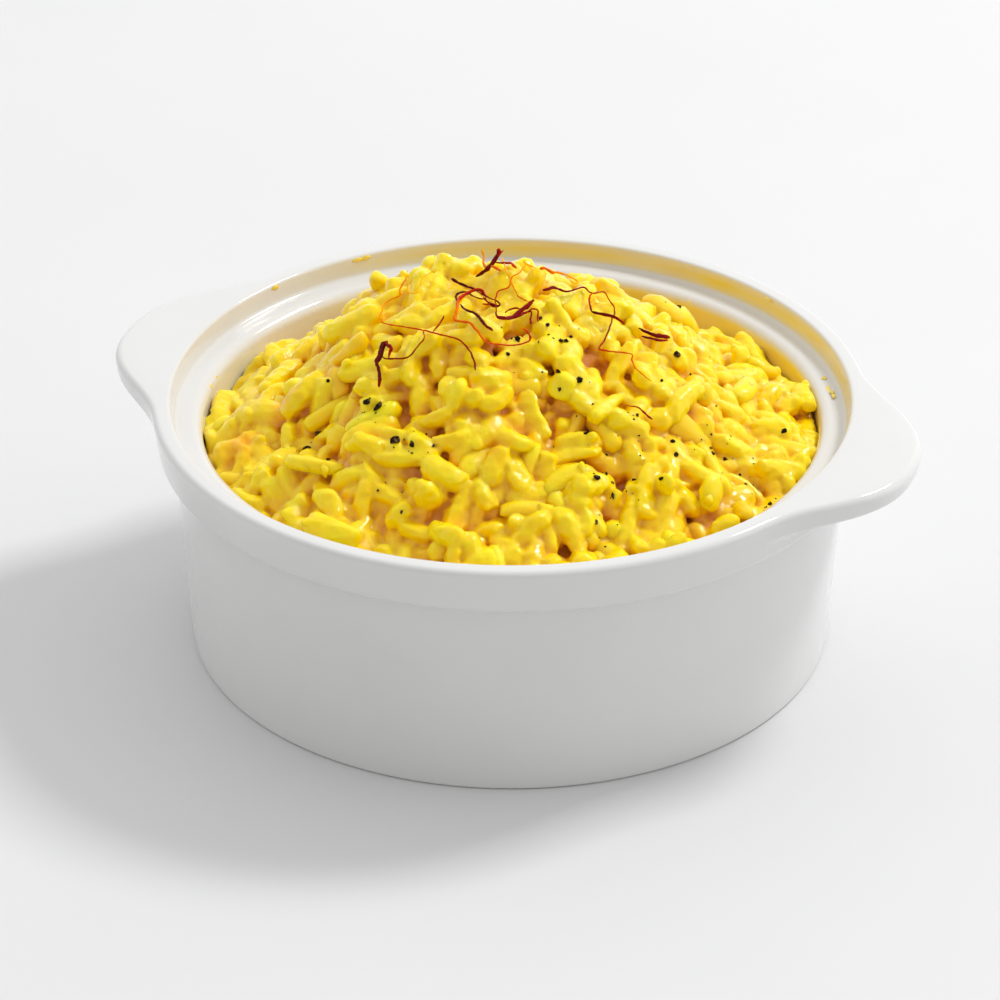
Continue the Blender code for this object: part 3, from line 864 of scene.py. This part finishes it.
def makeCream(grains):
    # the thick saffron cream that coats the grains and fills the creases between them
    count = len(grains["centre"])
    coat = np.random.default_rng(creamPlan["coatSeed"]).uniform(*creamPlan["coat"], (count, 1))
    coat[grains["bare"]] = creamPlan["bareCoat"]
    shapes = grainShapes(grains, np.random.default_rng(grainPlan["seed"]), *grainPlan["grid"], coat)
    coated = grainMesh(shapes)
    bits = grainMesh(grainShapes(crumbs(coated[0]), np.random.default_rng(bitPlan["shapeSeed"]),
                                 *bitPlan["grid"]))
    points, normals, edges, faces = meltTogether("creamSource", *joinParts([coated, bits, bedPoints()]))
    ripples = ripple(points, creamPlan["rippleSeed"], creamPlan["rippleSize"]) * creamPlan["rippleHeight"]
    points = points + normals * ripples[:, None]
    outer = biggestPart(len(points), edges)
    wanted = outer[faces].all(1) & (points[faces, 2].min(1) > creamPlan["skirt"])
    points, faces = keepFaces(points, faces, wanted)
    top = readLevels(points)
    # the mean level from which the painted shade between the grains is measured
    levels = boxBlur(boxBlur(top, levelPlan["blur"]), levelPlan["blur"])
    points, faceSets = closeUnderneath(points, faces)
    stain = np.zeros(len(points))
    for x, y, reach, strength in creamPlan["stains"]:
        away = np.hypot(points[:, 0] - x, points[:, 1] - y)
        stain = np.maximum(stain, strength * np.exp(-(away / reach) ** 2))      # fades as a bell curve
    # the depth attribute carries the painted shade between the grains
    piece = makePiece("riceCream", points, faceSets, cookedRice("saffronCream"), "saffron_rice",
                      {"depth": paintedShadeShare(points, levels), "tint": np.full(len(points), 0.5),
                       "stain": stain})
    thin = piece.modifiers.new("thin", "DECIMATE")
    thin.ratio = min(1, creamPlan["triangles"] / (2 * len(faceSets[0]) + len(faceSets[1])))
    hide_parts("risotto")
    return piece, top, levels


threadPlan = {
    "steps": 6,                        # samples between two points of a route
    "sides": 7,
    "plumpness": 0.95,                 # scales every width
    "flatness": 0.7,                   # a dried stigma is flatter than it is wide
    "unevenness": 0.14,                # share by which the width swells and shrinks along a thread
    "wrinkle": 0.08,                   # the same round the section, for shrivelled sides
    "kink": 0.05,                      # mm that a thread wavers off its route
    "bridge": (5, 4),                  # cells each way that the level takes the highest of, and averages
    "rest": 0.2,                       # mm that a thread lies over that level
    "sunk": 0.4,                       # its middle stays this share of its half width over the grains
    "swellWaves": (0.9, 3.2), "kinkWaves": (1.2, 4.0), "wrinkleWaves": (0.7, 2.4),    # in mm
}

# each saffron thread: its widths in mm and its tones along it, from dark crimson (0) to the orange of
# the style (1), and its route in mm; a route seen from above follows the level over the rice, and one with
# heights stands up
threadRoutes = [
    ((0.45, 0.4, 0.35, 0.3, 0.3, 0.3, 0.35, 0.4), (0.75, 0.7, 0.8, 0.66, 0.5, 0.35, 0.2, 0.1),
     [(-20, 0.5), (-20.5, -2), (-20, -3.5), (-22, -4), (-22.5, -5.5), (-22, -7), (-21.5, -9.5),
      (-20.5, -11.5), (-19, -12.5), (-15.5, -13.5), (-10.5, -16.5), (-7, -17.5), (-3, -18.5),
      (-0.5, -20), (1, -21.5), (2, -23.5)]),
    ((0.3, 0.35, 0.35, 0.3), (0.8, 0.95, 1, 0.8),
     [(-20, 0), (-19, -2), (-18.5, -3), (-17, -3), (-17, -1.5), (-17, 0.5), (-16, 3.5)]),
    ((0.35, 0.3, 0.35, 0.35), (0.35, 0.25, 0.15, 0.1),
     [(-10.5, -16.5), (-9.5, -18.5), (-10, -19.5), (-11.5, -21.5), (-14.5, -21.5), (-16, -21),
      (-17, -20)]),
    ((0.3, 0.3, 0.35), (0.25, 0.2, 0.1),
     [(-8.5, -17), (-8, -14.5), (-8, -12.5)]),
    ((0.7, 1.3, 1.2, 0.8, 0.9, 0.8), (0.1, 0.03, 0.03, 0.05, 0.03, 0.2),
     [(-17.5, -16), (-18, -17), (-17.5, -20), (-17.5, -21.5), (-16.5, -23), (-15.5, -25), (-15, -26.5)]),
    ((0.8, 1, 0.6, 0.3), (0.12, 0.12, 0.2, 0.3),
     [(-17.5, -16.5), (-16.5, -18), (-15.5, -19), (-15.5, -20.5), (-15, -21.5)]),
    ((0.5, 0.8, 0.8, 0.9, 0.9, 0.8), (0.05, 0.04, 0.04, 0.06, 0.1, 0.25),
     [(-8, 3.5, 67.5), (-6.5, 4.5, 68.5), (-6, 6, 69), (-5.5, 8, 70), (-5.5, 9, 71)]),
    ((0.7, 0.6, 0.5), (0.1, 0.2, 0.3),
     [(-5.5, 7.5, 70), (-5, 8, 70.5), (-4.5, 8.5, 71)]),
    ((0.45, 0.55, 0.6, 0.6), (0.85, 0.7, 0.65, 0.55),
     [(-9, 9.5, 70), (-8.5, 9, 69), (-8, 7.5, 68.5), (-7, 6, 68.5), (-5.5, 5.5, 69), (-3.5, 4.5, 69)]),
    ((0.45, 0.5, 0.6, 0.8, 0.3), (0.2, 0.2, 0.25, 0.4, 0.5),
     [(-6, 8), (-4.5, 7.5), (-3, 8), (-2, 7), (-1, 6)]),
    ((0.5, 0.4, 0.35, 0.3, 0.3), (0.9, 0.85, 0.8, 0.6, 0.45),
     [(-5.5, 10.5), (-3.5, 6.5), (-2.5, 4.5), (-1.5, 3.5), (0, 1.5), (2, -1), (4.5, -3.5)]),
    ((0.45, 0.35, 0.3), (0.85, 0.8, 0.6),
     [(-1, 10), (0, 8), (2, 7)]),
    ((0.3, 0.3, 0.3, 0.35, 0.35, 0.4, 0.7, 0.9, 0.9), (0.8, 0.7, 0.5, 0.35, 0.2, 0.12, 0.12, 0.1, 0.15),
     [(0, 8), (0, 5), (-1, 3.5), (-1, 1.5), (-2.5, 0.5), (-2.5, -1), (-2, -2.5), (0, -7.5), (1, -10.5),
      (2, -12), (3, -11.5), (3.5, -8.5), (4.5, -5.5), (5.5, -3)]),
    ((0.3, 0.35, 0.3), (0.85, 0.9, 0.9),
     [(0, 8), (1.5, 6.5), (2.5, 5), (3, 4.5)]),
    ((0.5, 0.4, 0.35, 0.3, 0.4, 0.5), (0.15, 0.2, 0.3, 0.3, 0.2, 0.3),
     [(1.5, -7), (2, -5.5), (3.5, -5.5), (5, -6.5), (6, -5.5), (7, -5.5), (7.5, -6.5), (8, -8)]),
    ((0.5, 0.4, 0.35, 0.6), (0.15, 0.1, 0.15, 0.2),
     [(4, -8.5), (5, -6.5), (6, -6), (6.5, -7.5), (7, -9)]),
    ((0.6, 0.6, 0.5, 0.4, 0.4, 0.35, 0.3), (0.6, 0.6, 0.7, 0.8, 0.85, 0.9, 0.9),
     [(3, 7), (4, 7.5), (5, 8), (5.5, 9), (6.5, 10.5), (7.5, 11.5), (8.5, 11.5), (9, 10.5), (8, 10),
      (7.5, 10.5)]),
    ((0.9, 0.7, 0.4, 0.35, 0.5, 0.6, 0.5, 0.4), (0.02, 0.02, 0.05, 0.08, 0.08, 0.03, 0.08, 0.15),
     [(-12.5, 3), (-10, 2), (-7, 0), (-4, -1.5), (-2, -2), (-1, -3), (-1, -4), (-2, -4), (-3, -3.5),
      (-4.5, -2)]),
    ((0.5, 0.45, 0.4, 0.35, 0.3), (0.03, 0.03, 0.05, 0.1, 0.15),
     [(-8, -6), (-9, -4), (-9, -2.5), (-8, -1.5), (-6.5, -2.5), (-5.5, -3), (-4, -2.5), (-4.5, -1)]),
    ((0.4, 0.5, 0.7, 0.8, 0.8, 0.7), (0.03, 0.02, 0.02, 0.03, 0.06, 0.2),
     [(-6.5, -8.5), (-4.5, -11), (-2, -12.5), (1, -15.5), (2.5, -16)]),
    ((0.6, 0.6, 0.8, 0.8, 0.6, 0.5, 0.5, 0.4, 0.45, 0.4, 0.3),
     (0.2, 0.3, 0.35, 0.6, 0.6, 0.5, 0.6, 0.4, 0.25, 0.3, 0.7),
     [(-4.5, -1), (-6, 0), (-7.5, -1.5), (-8, -4.5), (-7.5, -7), (-6, -11.5), (-5.5, -14), (-4.5, -15),
      (-2, -15.5), (0, -17), (2, -18), (4, -17.5), (6.5, -15.5), (8, -13), (8, -12), (7, -11),
      (6, -11)]),
    ((0.4, 0.3, 0.3), (0.2, 0.3, 0.2),
     [(-3.5, -5), (-2.5, -4), (-3, -3)]),
    ((0.8, 0.6, 0.45, 0.4, 0.35, 0.4, 0.5, 0.4, 0.3, 0.3, 0.3),
     (0.1, 0.08, 0.12, 0.25, 0.4, 0.2, 0.1, 0.3, 0.45, 0.5, 0.7),
     [(5.5, 2), (6.5, 5), (8, 6), (9, 7), (10.5, 9.5), (12.5, 8.5), (14, 10.5), (15.5, 9), (17.5, 6.5),
      (18, 3.5), (18.5, 0.5), (19, -4), (19, -6.5), (20.5, -5.5), (24.5, -5), (25, -6), (26.5, -7.5),
      (29.5, -8.5)]),
    ((0.4, 0.35, 0.4, 0.5, 0.8, 0.8, 0.4), (0.5, 0.4, 0.15, 0.06, 0.06, 0.1, 0.3),
     [(12.5, 8.5), (12.5, 7), (14, 3.5), (15, 3), (18, 4.5), (20, 4.5)]),
    ((0.4, 0.6, 0.7, 0.8, 0.9, 0.9), (0.03, 0.03, 0.06, 0.08, 0.1, 0.15),
     [(22.5, 5), (25, 5.5), (26, 6.5), (27.5, 8)]),
    ((0.45, 0.6, 0.7, 0.5), (0.04, 0.06, 0.15, 0.3),
     [(24, 2.5), (25.5, 4.5), (26.5, 5.5), (27.5, 7)]),
    ((0.25, 0.3, 0.4, 0.4, 0.35), (0.4, 0.3, 0.2, 0.2, 0.15),
     [(27, -15.5), (29, -14.5), (30.5, -15), (32, -15)]),
]


def splinePath(points, steps):
    # Catmull-Rom: from p1 to p2 with neighbours p0 and p3 the curve at t is half of
    # 2 p1 + (p2 - p0) t + (2 p0 - 5 p1 + 4 p2 - p3) t^2 + (3 p1 - p0 - 3 p2 + p3) t^3
    full = np.concatenate([[2 * points[0] - points[1]], points, [2 * points[-1] - points[-2]]])
    before, first, second, after = (full[:-3, None], full[1:-2, None], full[2:-1, None], full[3:, None])
    t = (np.arange(steps) / steps)[None, :, None]
    curve = (2 * first + (second - before) * t + (2 * before - 5 * first + 4 * second - after) * t ** 2
             + (3 * first - before - 3 * second + after) * t ** 3) / 2
    return np.concatenate([curve.reshape(-1, points.shape[1]), points[-1:]])


def alongPath(values, count):
    # evenly spaced values stretched over the samples of a path
    return np.interp(np.linspace(0, 1, count), np.linspace(0, 1, len(values)), values)


def riceSkin(x, y):
    # height of the finished rice: the highest hit of rays that fall on its pieces
    down = Vector((0, 0, -1))
    hits = [[skin.ray_cast(Vector((px / 1000, py / 1000, 0.1)), down)[0] for skin in skins]
            for px, py in zip(x, y)]
    return np.array([max(hit.z for hit in row if hit) * 1000 for row in hits])


def drapedThread(widths, tones, route, sheet):
    # a thread follows a smooth level over the grains, and its middle stays over the rice; on the heap's
    # slopes that level leaves most threads one to three millimetres clear of the grains; a thread's section
    # is a flat ellipse across the path that turns slowly, and narrows at both ends
    route = np.array(route, float)
    if route.shape[1] == 2:
        level = mapAt(sheet, levelPlan["pitch"], route[:, 0], route[:, 1])
        route = np.column_stack([route, level + threadPlan["rest"]])
    path = splinePath(route, threadPlan["steps"])
    count = len(path)
    ownSeed = int(abs(path[0, 0] * 7 + path[0, 1] * 13)) + 40
    run = np.cumsum(np.linalg.norm(np.gradient(path, axis=0), axis=-1))[:, None]
    radius = alongPath(widths, count) * threadPlan["plumpness"] / 2
    swell = ripple(run, ownSeed, threadPlan["swellWaves"])
    radius = radius * (1 + threadPlan["unevenness"] * swell).clip(0.5, 1.7)
    waver = np.stack([ripple(run, ownSeed + k, threadPlan["kinkWaves"]) for k in (1, 2)], -1)
    path[:, :2] += threadPlan["kink"] * waver
    path[:, 2] = np.maximum(path[:, 2], riceSkin(path[:, 0], path[:, 1]) + radius * threadPlan["sunk"])
    forward = unit(np.gradient(path, axis=0))
    side = unit(np.cross(forward, [0.1, 0.15, 1.0]))
    rise = np.cross(side, forward)
    around = (np.arange(threadPlan["sides"]) * 2 * math.pi / threadPlan["sides"])[None]
    twist = np.linspace(0, count / 14, count)[:, None] + path[:1, :1]
    taper = np.minimum(1, 0.45 + np.minimum(np.arange(count), np.arange(count)[::-1]) * 0.3)[:, None]
    skinPlaces = np.stack(np.broadcast_arrays(run, around * 1.1), -1).reshape(-1, 2)
    wrinkles = ripple(skinPlaces, ownSeed + 3, threadPlan["wrinkleWaves"]).reshape(count, -1)
    shrivel = 1 + threadPlan["wrinkle"] * wrinkles
    wide = radius[:, None] * taper * shrivel * np.cos(around)
    thick = radius[:, None] * taper * shrivel * threadPlan["flatness"] * np.sin(around)
    turned = np.stack([wide * np.cos(twist * 0.5) - thick * np.sin(twist * 0.5),
                       wide * np.sin(twist * 0.5) + thick * np.cos(twist * 0.5)], -1)
    rings = path[:, None] + turned[..., :1] * side[:, None] + turned[..., 1:] * rise[:, None]
    tone = np.repeat(alongPath(tones, count), threadPlan["sides"])
    points = np.concatenate([rings.reshape(-1, 3), path[:1], path[-1:]])
    return points, np.concatenate([tone, tone[:1], tone[-1:]]), count


def saffronThread():
    # dried saffron stigmas softened by steam: deep crimson filaments that pass through red to the orange
    # style at their root, with fine lengthwise wrinkles and a slight sheen
    material, tree, shader, place = newMaterial("driedSaffronStigma")
    tone = addNode(tree, "ShaderNodeAttribute", attribute_name="tone").outputs["Fac"]
    streak = addNode(tree, "ShaderNodeTexNoise", {"Vector": place, "Scale": 1800.0, "Detail": 2.0})   # 0.6 mm
    mixed = addNode(tree, "ShaderNodeMath", {0: streak.outputs["Fac"], 1: 0.16, 2: tone},
                    operation="MULTIPLY_ADD")
    colour = addNode(tree, "ShaderNodeValToRGB", {"Fac": mixed.outputs[0]},
                     [(0.08, "#45060A"), (0.25, "#920C0C"), (0.45, "#CC2A08"), (0.7, "#EE7000"),
                      (1.0, "#FFBC08")])
    bump = addNode(tree, "ShaderNodeBump", {"Height": streak.outputs["Fac"], "Strength": 0.5,
                                            "Distance": 0.0001})
    setInputs(tree, shader, {"Base Color": colour.outputs["Color"], "Normal": bump.outputs["Normal"],
                             "Roughness": 0.6, "IOR": 1.4, "Specular IOR Level": 0.08})
    return material


def makeThreads(top):
    reach, blur = threadPlan["bridge"]
    sheet = boxBlur(highest(top, reach), blur)
    parts, tones = [], []
    ring = np.arange(threadPlan["sides"])
    for thread in threadRoutes:
        points, tone, count = drapedThread(*thread, sheet)
        parts.append((points, [gridFaces(count, len(ring), True), fanFaces(len(points) - 2, ring[::-1]),
                               fanFaces(len(points) - 1, ring + (count - 1) * len(ring))]))
        tones.append(tone)
    piece = makePiece("saffronThreads", *joinParts(parts), saffronThread(), "saffron_thread",
                      {"tone": np.concatenate(tones)})
    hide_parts("risotto")


smearPlan = {
    # buttery specks left on the bowl's inside: arcs from one bearing to another in degrees, radius in mm, and
    # how many specks lie on each
    "arcs": [(132, 158, 61.5, 4), (178, 208, 56.5, 2), (54, 76, 56.8, 4), (25, 38, 59, 4), (56, 60, 61.5, 1)],
    "length": (1.0, 2.6), "width": (0.5, 1.1),
    "profile": ((56.0, 57.6, 59.0, 61.5), (42.0, 43.1, 43.3, 46.7)),    # height of the glaze at each radius
    "thickness": 0.16, "sunk": 0.04, "rootDepth": 0.12,
    "spread": 0.3, "spreadReach": 60.0,    # how far specks within this radius lie off their arc
    "lean": ((56.2, 57.6), (62, 4)),       # degrees off level at each radius
    "recessLean": 80, "recessFoot": 60.5,  # the same on the recess, which starts at this radius
    "unevenness": 0.22, "outlineWaves": (0.8, 2.5),
    "steps": (4, 14),                  # rings and points round each speck
    "seed": 12,
}


def meltedButter():
    # a smear of set saffron butter: pale yellow, soft edged and slightly greasy
    material, tree, shader, place = newMaterial("setSaffronButter")
    cloud = addNode(tree, "ShaderNodeTexNoise", {"Vector": place, "Scale": 700.0, "Detail": 2.0})   # 1.4 mm
    colour = addNode(tree, "ShaderNodeValToRGB", {"Fac": cloud.outputs["Fac"]},
                     [(0.35, "#EBCB36"), (0.65, "#F5E27C")])
    setInputs(tree, shader, {"Base Color": colour.outputs["Color"], "Roughness": 0.35,
                             "Specular IOR Level": 0.4})
    return material


def makeSmears():
    # each speck is a flat dome of irregular outline, its underside just inside the glaze; it leans with the
    # glaze: level on the ledge, upright on the recess, halfway on the rounded top of the wall
    chance = np.random.default_rng(smearPlan["seed"])
    rings, steps = smearPlan["steps"]
    angle = np.arange(steps) * 2 * math.pi / steps
    ring = np.arange(steps)
    parts = []
    arcs = np.array(smearPlan["arcs"])
    rows = np.repeat(arcs, arcs[:, 3].astype(int), 0)
    count = len(rows)
    bearings = chance.uniform(rows[:, 0], rows[:, 1])
    drift = chance.uniform(-smearPlan["spread"], smearPlan["spread"], count)
    radii = rows[:, 2] + np.where(rows[:, 2] < smearPlan["spreadReach"], drift, 0)
    lengths = chance.uniform(*smearPlan["length"], count)
    widths = chance.uniform(*smearPlan["width"], count)
    for bearing, radius, length, width in zip(bearings, radii, lengths, widths):
        turn = math.radians(bearing)
        height = np.interp(radius, *smearPlan["profile"])
        tilt = math.radians(smearPlan["recessLean"] if radius > smearPlan["recessFoot"]
                            else np.interp(radius, *smearPlan["lean"]))
        inward = np.array([-math.cos(turn), -math.sin(turn), 0])
        normal = inward * math.sin(tilt) + np.array([0, 0, math.cos(tilt)])
        around = np.array([-math.sin(turn), math.cos(turn), 0])
        waves = ripple(np.stack([np.cos(angle), np.sin(angle)], -1), int(bearing), smearPlan["outlineWaves"])
        outline = 1 + smearPlan["unevenness"] * waves
        share = np.sin(np.linspace(math.pi / 2, 0.15, rings))[:, None]
        flat = (around * (np.cos(angle) * length / 2 * outline)[:, None]
                + np.cross(normal, around) * (np.sin(angle) * width / 2 * outline)[:, None])
        rise = np.sqrt(1 - share ** 2) * smearPlan["thickness"] - smearPlan["sunk"]
        domed = share[..., None] * flat + rise[..., None] * normal
        centre = np.array([radius * math.cos(turn), radius * math.sin(turn), height])
        top, foot = normal * (smearPlan["thickness"] - smearPlan["sunk"]), -normal * smearPlan["rootDepth"]
        points = np.concatenate([domed.reshape(-1, 3), [top, foot]]) + centre
        parts.append((points, [gridFaces(rings, steps, True),
                               fanFaces(rings * steps, ring + (rings - 1) * steps),
                               fanFaces(rings * steps + 1, ring[::-1])]))
    piece = makePiece("butterSmears", *joinParts(parts), meltedButter(), "saffron_rice")
    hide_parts("risotto")


pepperPlan = {
    "seed": 6,
    # cracked flakes: place from above and size in mm
    "flakes": [(29, 7.5, 2), (-17, -27.5, 1.6), (-15, -27.5, 1.5), (-27, -26.5, 1.4), (-28, -29, 1.7),
               (-29, -31, 0.7), (-9, -34.5, 1.6), (-5.5, -35, 0.9), (-2, -34, 0.8), (-9.5, -41.5, 0.6),
               (-3.5, -45.5, 0.6), (-21, -36, 0.7), (-27.5, -20, 0.7), (5.5, -11.5, 1.2), (5, -15, 0.8),
               (7.5, -5, 0.9), (9.5, -7, 0.7), (12.5, -8.5, 0.8), (13.5, -8.5, 0.7), (13.5, -6, 0.8),
               (18, -14, 1), (14.5, -15.5, 0.7), (15.5, -17.5, 0.6), (22, -21.5, 0.9), (21.5, -19.5, 0.8),
               (27, -25.5, 0.7), (26.5, -29, 1.2), (29.5, -29, 0.9), (31.5, -23.5, 0.7), (37, -25, 1),
               (28.5, -35, 0.9), (29, -14.5, 0.9), (35, -12.5, 0.6), (36.5, -15, 1.1), (43, -7, 1),
               (41.5, -9.5, 0.7), (46, -7.5, 0.7), (48, -10.5, 0.7), (53, -14, 1.2), (53, -12, 0.7),
               (35.5, 5.5, 1), (30, -4, 0.6), (50, 6, 1),
               (-22, 25, 1.2), (-24, 11, 0.9), (4, 30, 1.6), (-2, 24, 0.8), (-36, 20, 1.1), (-14, 46, 1.0),
               (21, 33, 1.2), (28, 27, 0.8), (-42, 6, 1.0)],
    # ground dust: middle and spread of each sprinkle in mm, and how many specks it has
    "dust": [(-6, -37, 5, 18), (-29, -30, 3, 8), (15, -10, 6, 16), (28, -27, 4, 14), (43, -9, 5, 24),
             (30, -35, 2, 6), (53, -12, 3, 12), (5, -12, 2, 4), (32, -18, 5, 12), (-16, -28, 3, 8),
             (20, -20, 5, 8), (34, 4, 4, 6),
             (-20, 14, 6, 12), (2, 27, 6, 12), (-34, 22, 5, 8), (-10, 38, 5, 9), (24, 30, 5, 9)],
    "dustSize": (0.2, 0.58), "dustSpread": 0.625,    # in mm; and share of a spread taken as the deviation
    "reach": 54.5,                     # specks farther from the axis are left out
    "stretch": (0.5, 1.2), "jitter": (0.6, 1.25), "jagged": (0.8, 1.35),    # factors on a speck's points
    "rise": 0.12,                      # share of its size that a speck's middle lies over the rice
    "flakeScale": 1.3,                 # scales every flake in the list
    "flakeSize": 0.75,                 # from this size on a speck gets the jagged shape
    "paleShare": 0.3, "paleSpots": 0.14,    # specks, and points of a flake, that show the pale inside
}


def crackedPepper():
    # cracked black peppercorn: matt, wrinkled and nearly black outside, tan where the inside shows
    material, tree, shader, place = newMaterial("crackedBlackPepper")
    pale = addNode(tree, "ShaderNodeAttribute", attribute_name="pale").outputs["Fac"]
    grit = addNode(tree, "ShaderNodeTexNoise", {"Vector": place, "Scale": 3000.0, "Detail": 2.0})   # 0.3 mm
    husk = addNode(tree, "ShaderNodeValToRGB", {"Fac": grit.outputs["Fac"]},
                   [(0.35, "#070504"), (0.6, "#1C120C"), (0.75, "#49341F")])
    core = addNode(tree, "ShaderNodeValToRGB", {"Fac": grit.outputs["Fac"]},
                   [(0.35, "#5C4022"), (0.65, "#96764A")])
    colour = addNode(tree, "ShaderNodeMix", {0: pale, 6: husk.outputs["Color"], 7: core.outputs["Color"]},
                     data_type="RGBA")
    setInputs(tree, shader, {"Base Color": colour.outputs[2], "Roughness": 0.8, "Specular IOR Level": 0.1})
    return material


def makePepper():
    # every speck is a jittered, squashed icosahedron that lies where it fell on the rice; the sides of the
    # larger flakes are split in four, and the new points stand in or out for a jagged broken edge
    chance = np.random.default_rng(pepperPlan["seed"])
    husk = crackedPepper()
    rows = [np.array(pepperPlan["flakes"]) * (1, 1, pepperPlan["flakeScale"])]
    for x, y, spread, count in pepperPlan["dust"]:
        spots = chance.normal(0, spread * pepperPlan["dustSpread"], (count, 2)) + (x, y)
        rows.append(np.column_stack([spots, chance.uniform(*pepperPlan["dustSize"], count)]))
    rows = np.concatenate(rows)
    rows = rows[np.hypot(rows[:, 0], rows[:, 1]) < pepperPlan["reach"]]
    golden = (1 + math.sqrt(5)) / 2
    base = unit(np.array([np.roll((0, i, j * golden), -turn)
                          for turn in (0, 1, 2) for i in (-1, 1) for j in (-1, 1)]))
    apart = np.linalg.norm(base[:, None] - base[None], axis=-1)
    near = (apart > 0.1) & (apart < 1.2)
    faces = np.array([(i, j, k) for i in range(12) for j in range(i + 1, 12) for k in range(j + 1, 12)
                      if near[i, j] and near[j, k] and near[i, k]])
    outward = (np.cross(base[faces[:, 1]] - base[faces[:, 0]], base[faces[:, 2]] - base[faces[:, 0]])
               * base[faces[:, 0]]).sum(-1) > 0
    faces = np.where(outward[:, None], faces, faces[:, ::-1])
    sides = np.array([(i, j) for i in range(12) for j in range(i + 1, 12) if near[i, j]])
    number = np.zeros((12, 12), int)
    number[sides[:, 0], sides[:, 1]] = number[sides[:, 1], sides[:, 0]] = np.arange(len(sides)) + 12
    a, b, c = faces.T
    ab, bc, ca = number[a, b], number[b, c], number[c, a]
    split = np.concatenate([np.stack(corners, -1)
                            for corners in ((a, ab, ca), (ab, b, bc), (ca, bc, c), (ab, bc, ca))])
    count = len(rows)
    stretch = chance.uniform(*pepperPlan["stretch"], (count, 1, 3))
    shape = base[None] * chance.uniform(*pepperPlan["jitter"], (count, 12, 1))
    middles = (shape[:, sides[:, 0]] + shape[:, sides[:, 1]]) / 2
    middles = middles * chance.uniform(*pepperPlan["jagged"], (count, len(sides), 1))
    shape = np.concatenate([shape, middles], 1) * stretch * (rows[:, 2] / 2)[:, None, None]
    turn = unit(chance.normal(0, 1, (count, 3)))
    second = unit(np.cross(turn, chance.normal(0, 1, (count, 3))))
    axes = np.stack([turn, second, np.cross(turn, second)], 1)
    height = riceSkin(rows[:, 0], rows[:, 1]) + rows[:, 2] * pepperPlan["rise"]
    centre = np.column_stack([rows[:, :2], height])
    points = centre[:, None] + shape @ axes
    pale = np.where((rows[:, 2] < pepperPlan["flakeSize"])[:, None],
                    chance.random((count, 1)) < pepperPlan["paleShare"],
                    chance.random((count, points.shape[1])) < pepperPlan["paleSpots"])
    large = rows[:, 2] >= pepperPlan["flakeSize"]
    for name, chosen, corners, pattern in (("pepperFlakes", large, points.shape[1], split),
                                           ("pepperDust", ~large, 12, faces)):
        shift = corners * np.arange(chosen.sum())[:, None, None]
        piece = makePiece(name, points[chosen, :corners].reshape(-1, 3),
                          [(pattern[None] + shift).reshape(-1, 3)], husk, "black_pepper",
                          {"pale": pale[chosen, :corners].astype(float)})
        piece.data.shade_flat()
        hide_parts("risotto")


makeCamera()
makeStudio()
makeFloor()
makeBowl()
grains = settle(scatterGrains(np.random.default_rng(grainPlan["seed"])), grainPlan["settleRounds"])
cream, top, levels = makeCream(grains)
bareGrains, top = makeGrains(grains, top, levels)
skins = [BVHTree.FromObject(piece, bpy.context.evaluated_depsgraph_get()) for piece in (cream, *bareGrains)]
makeThreads(top)
makePepper()
makeSmears()
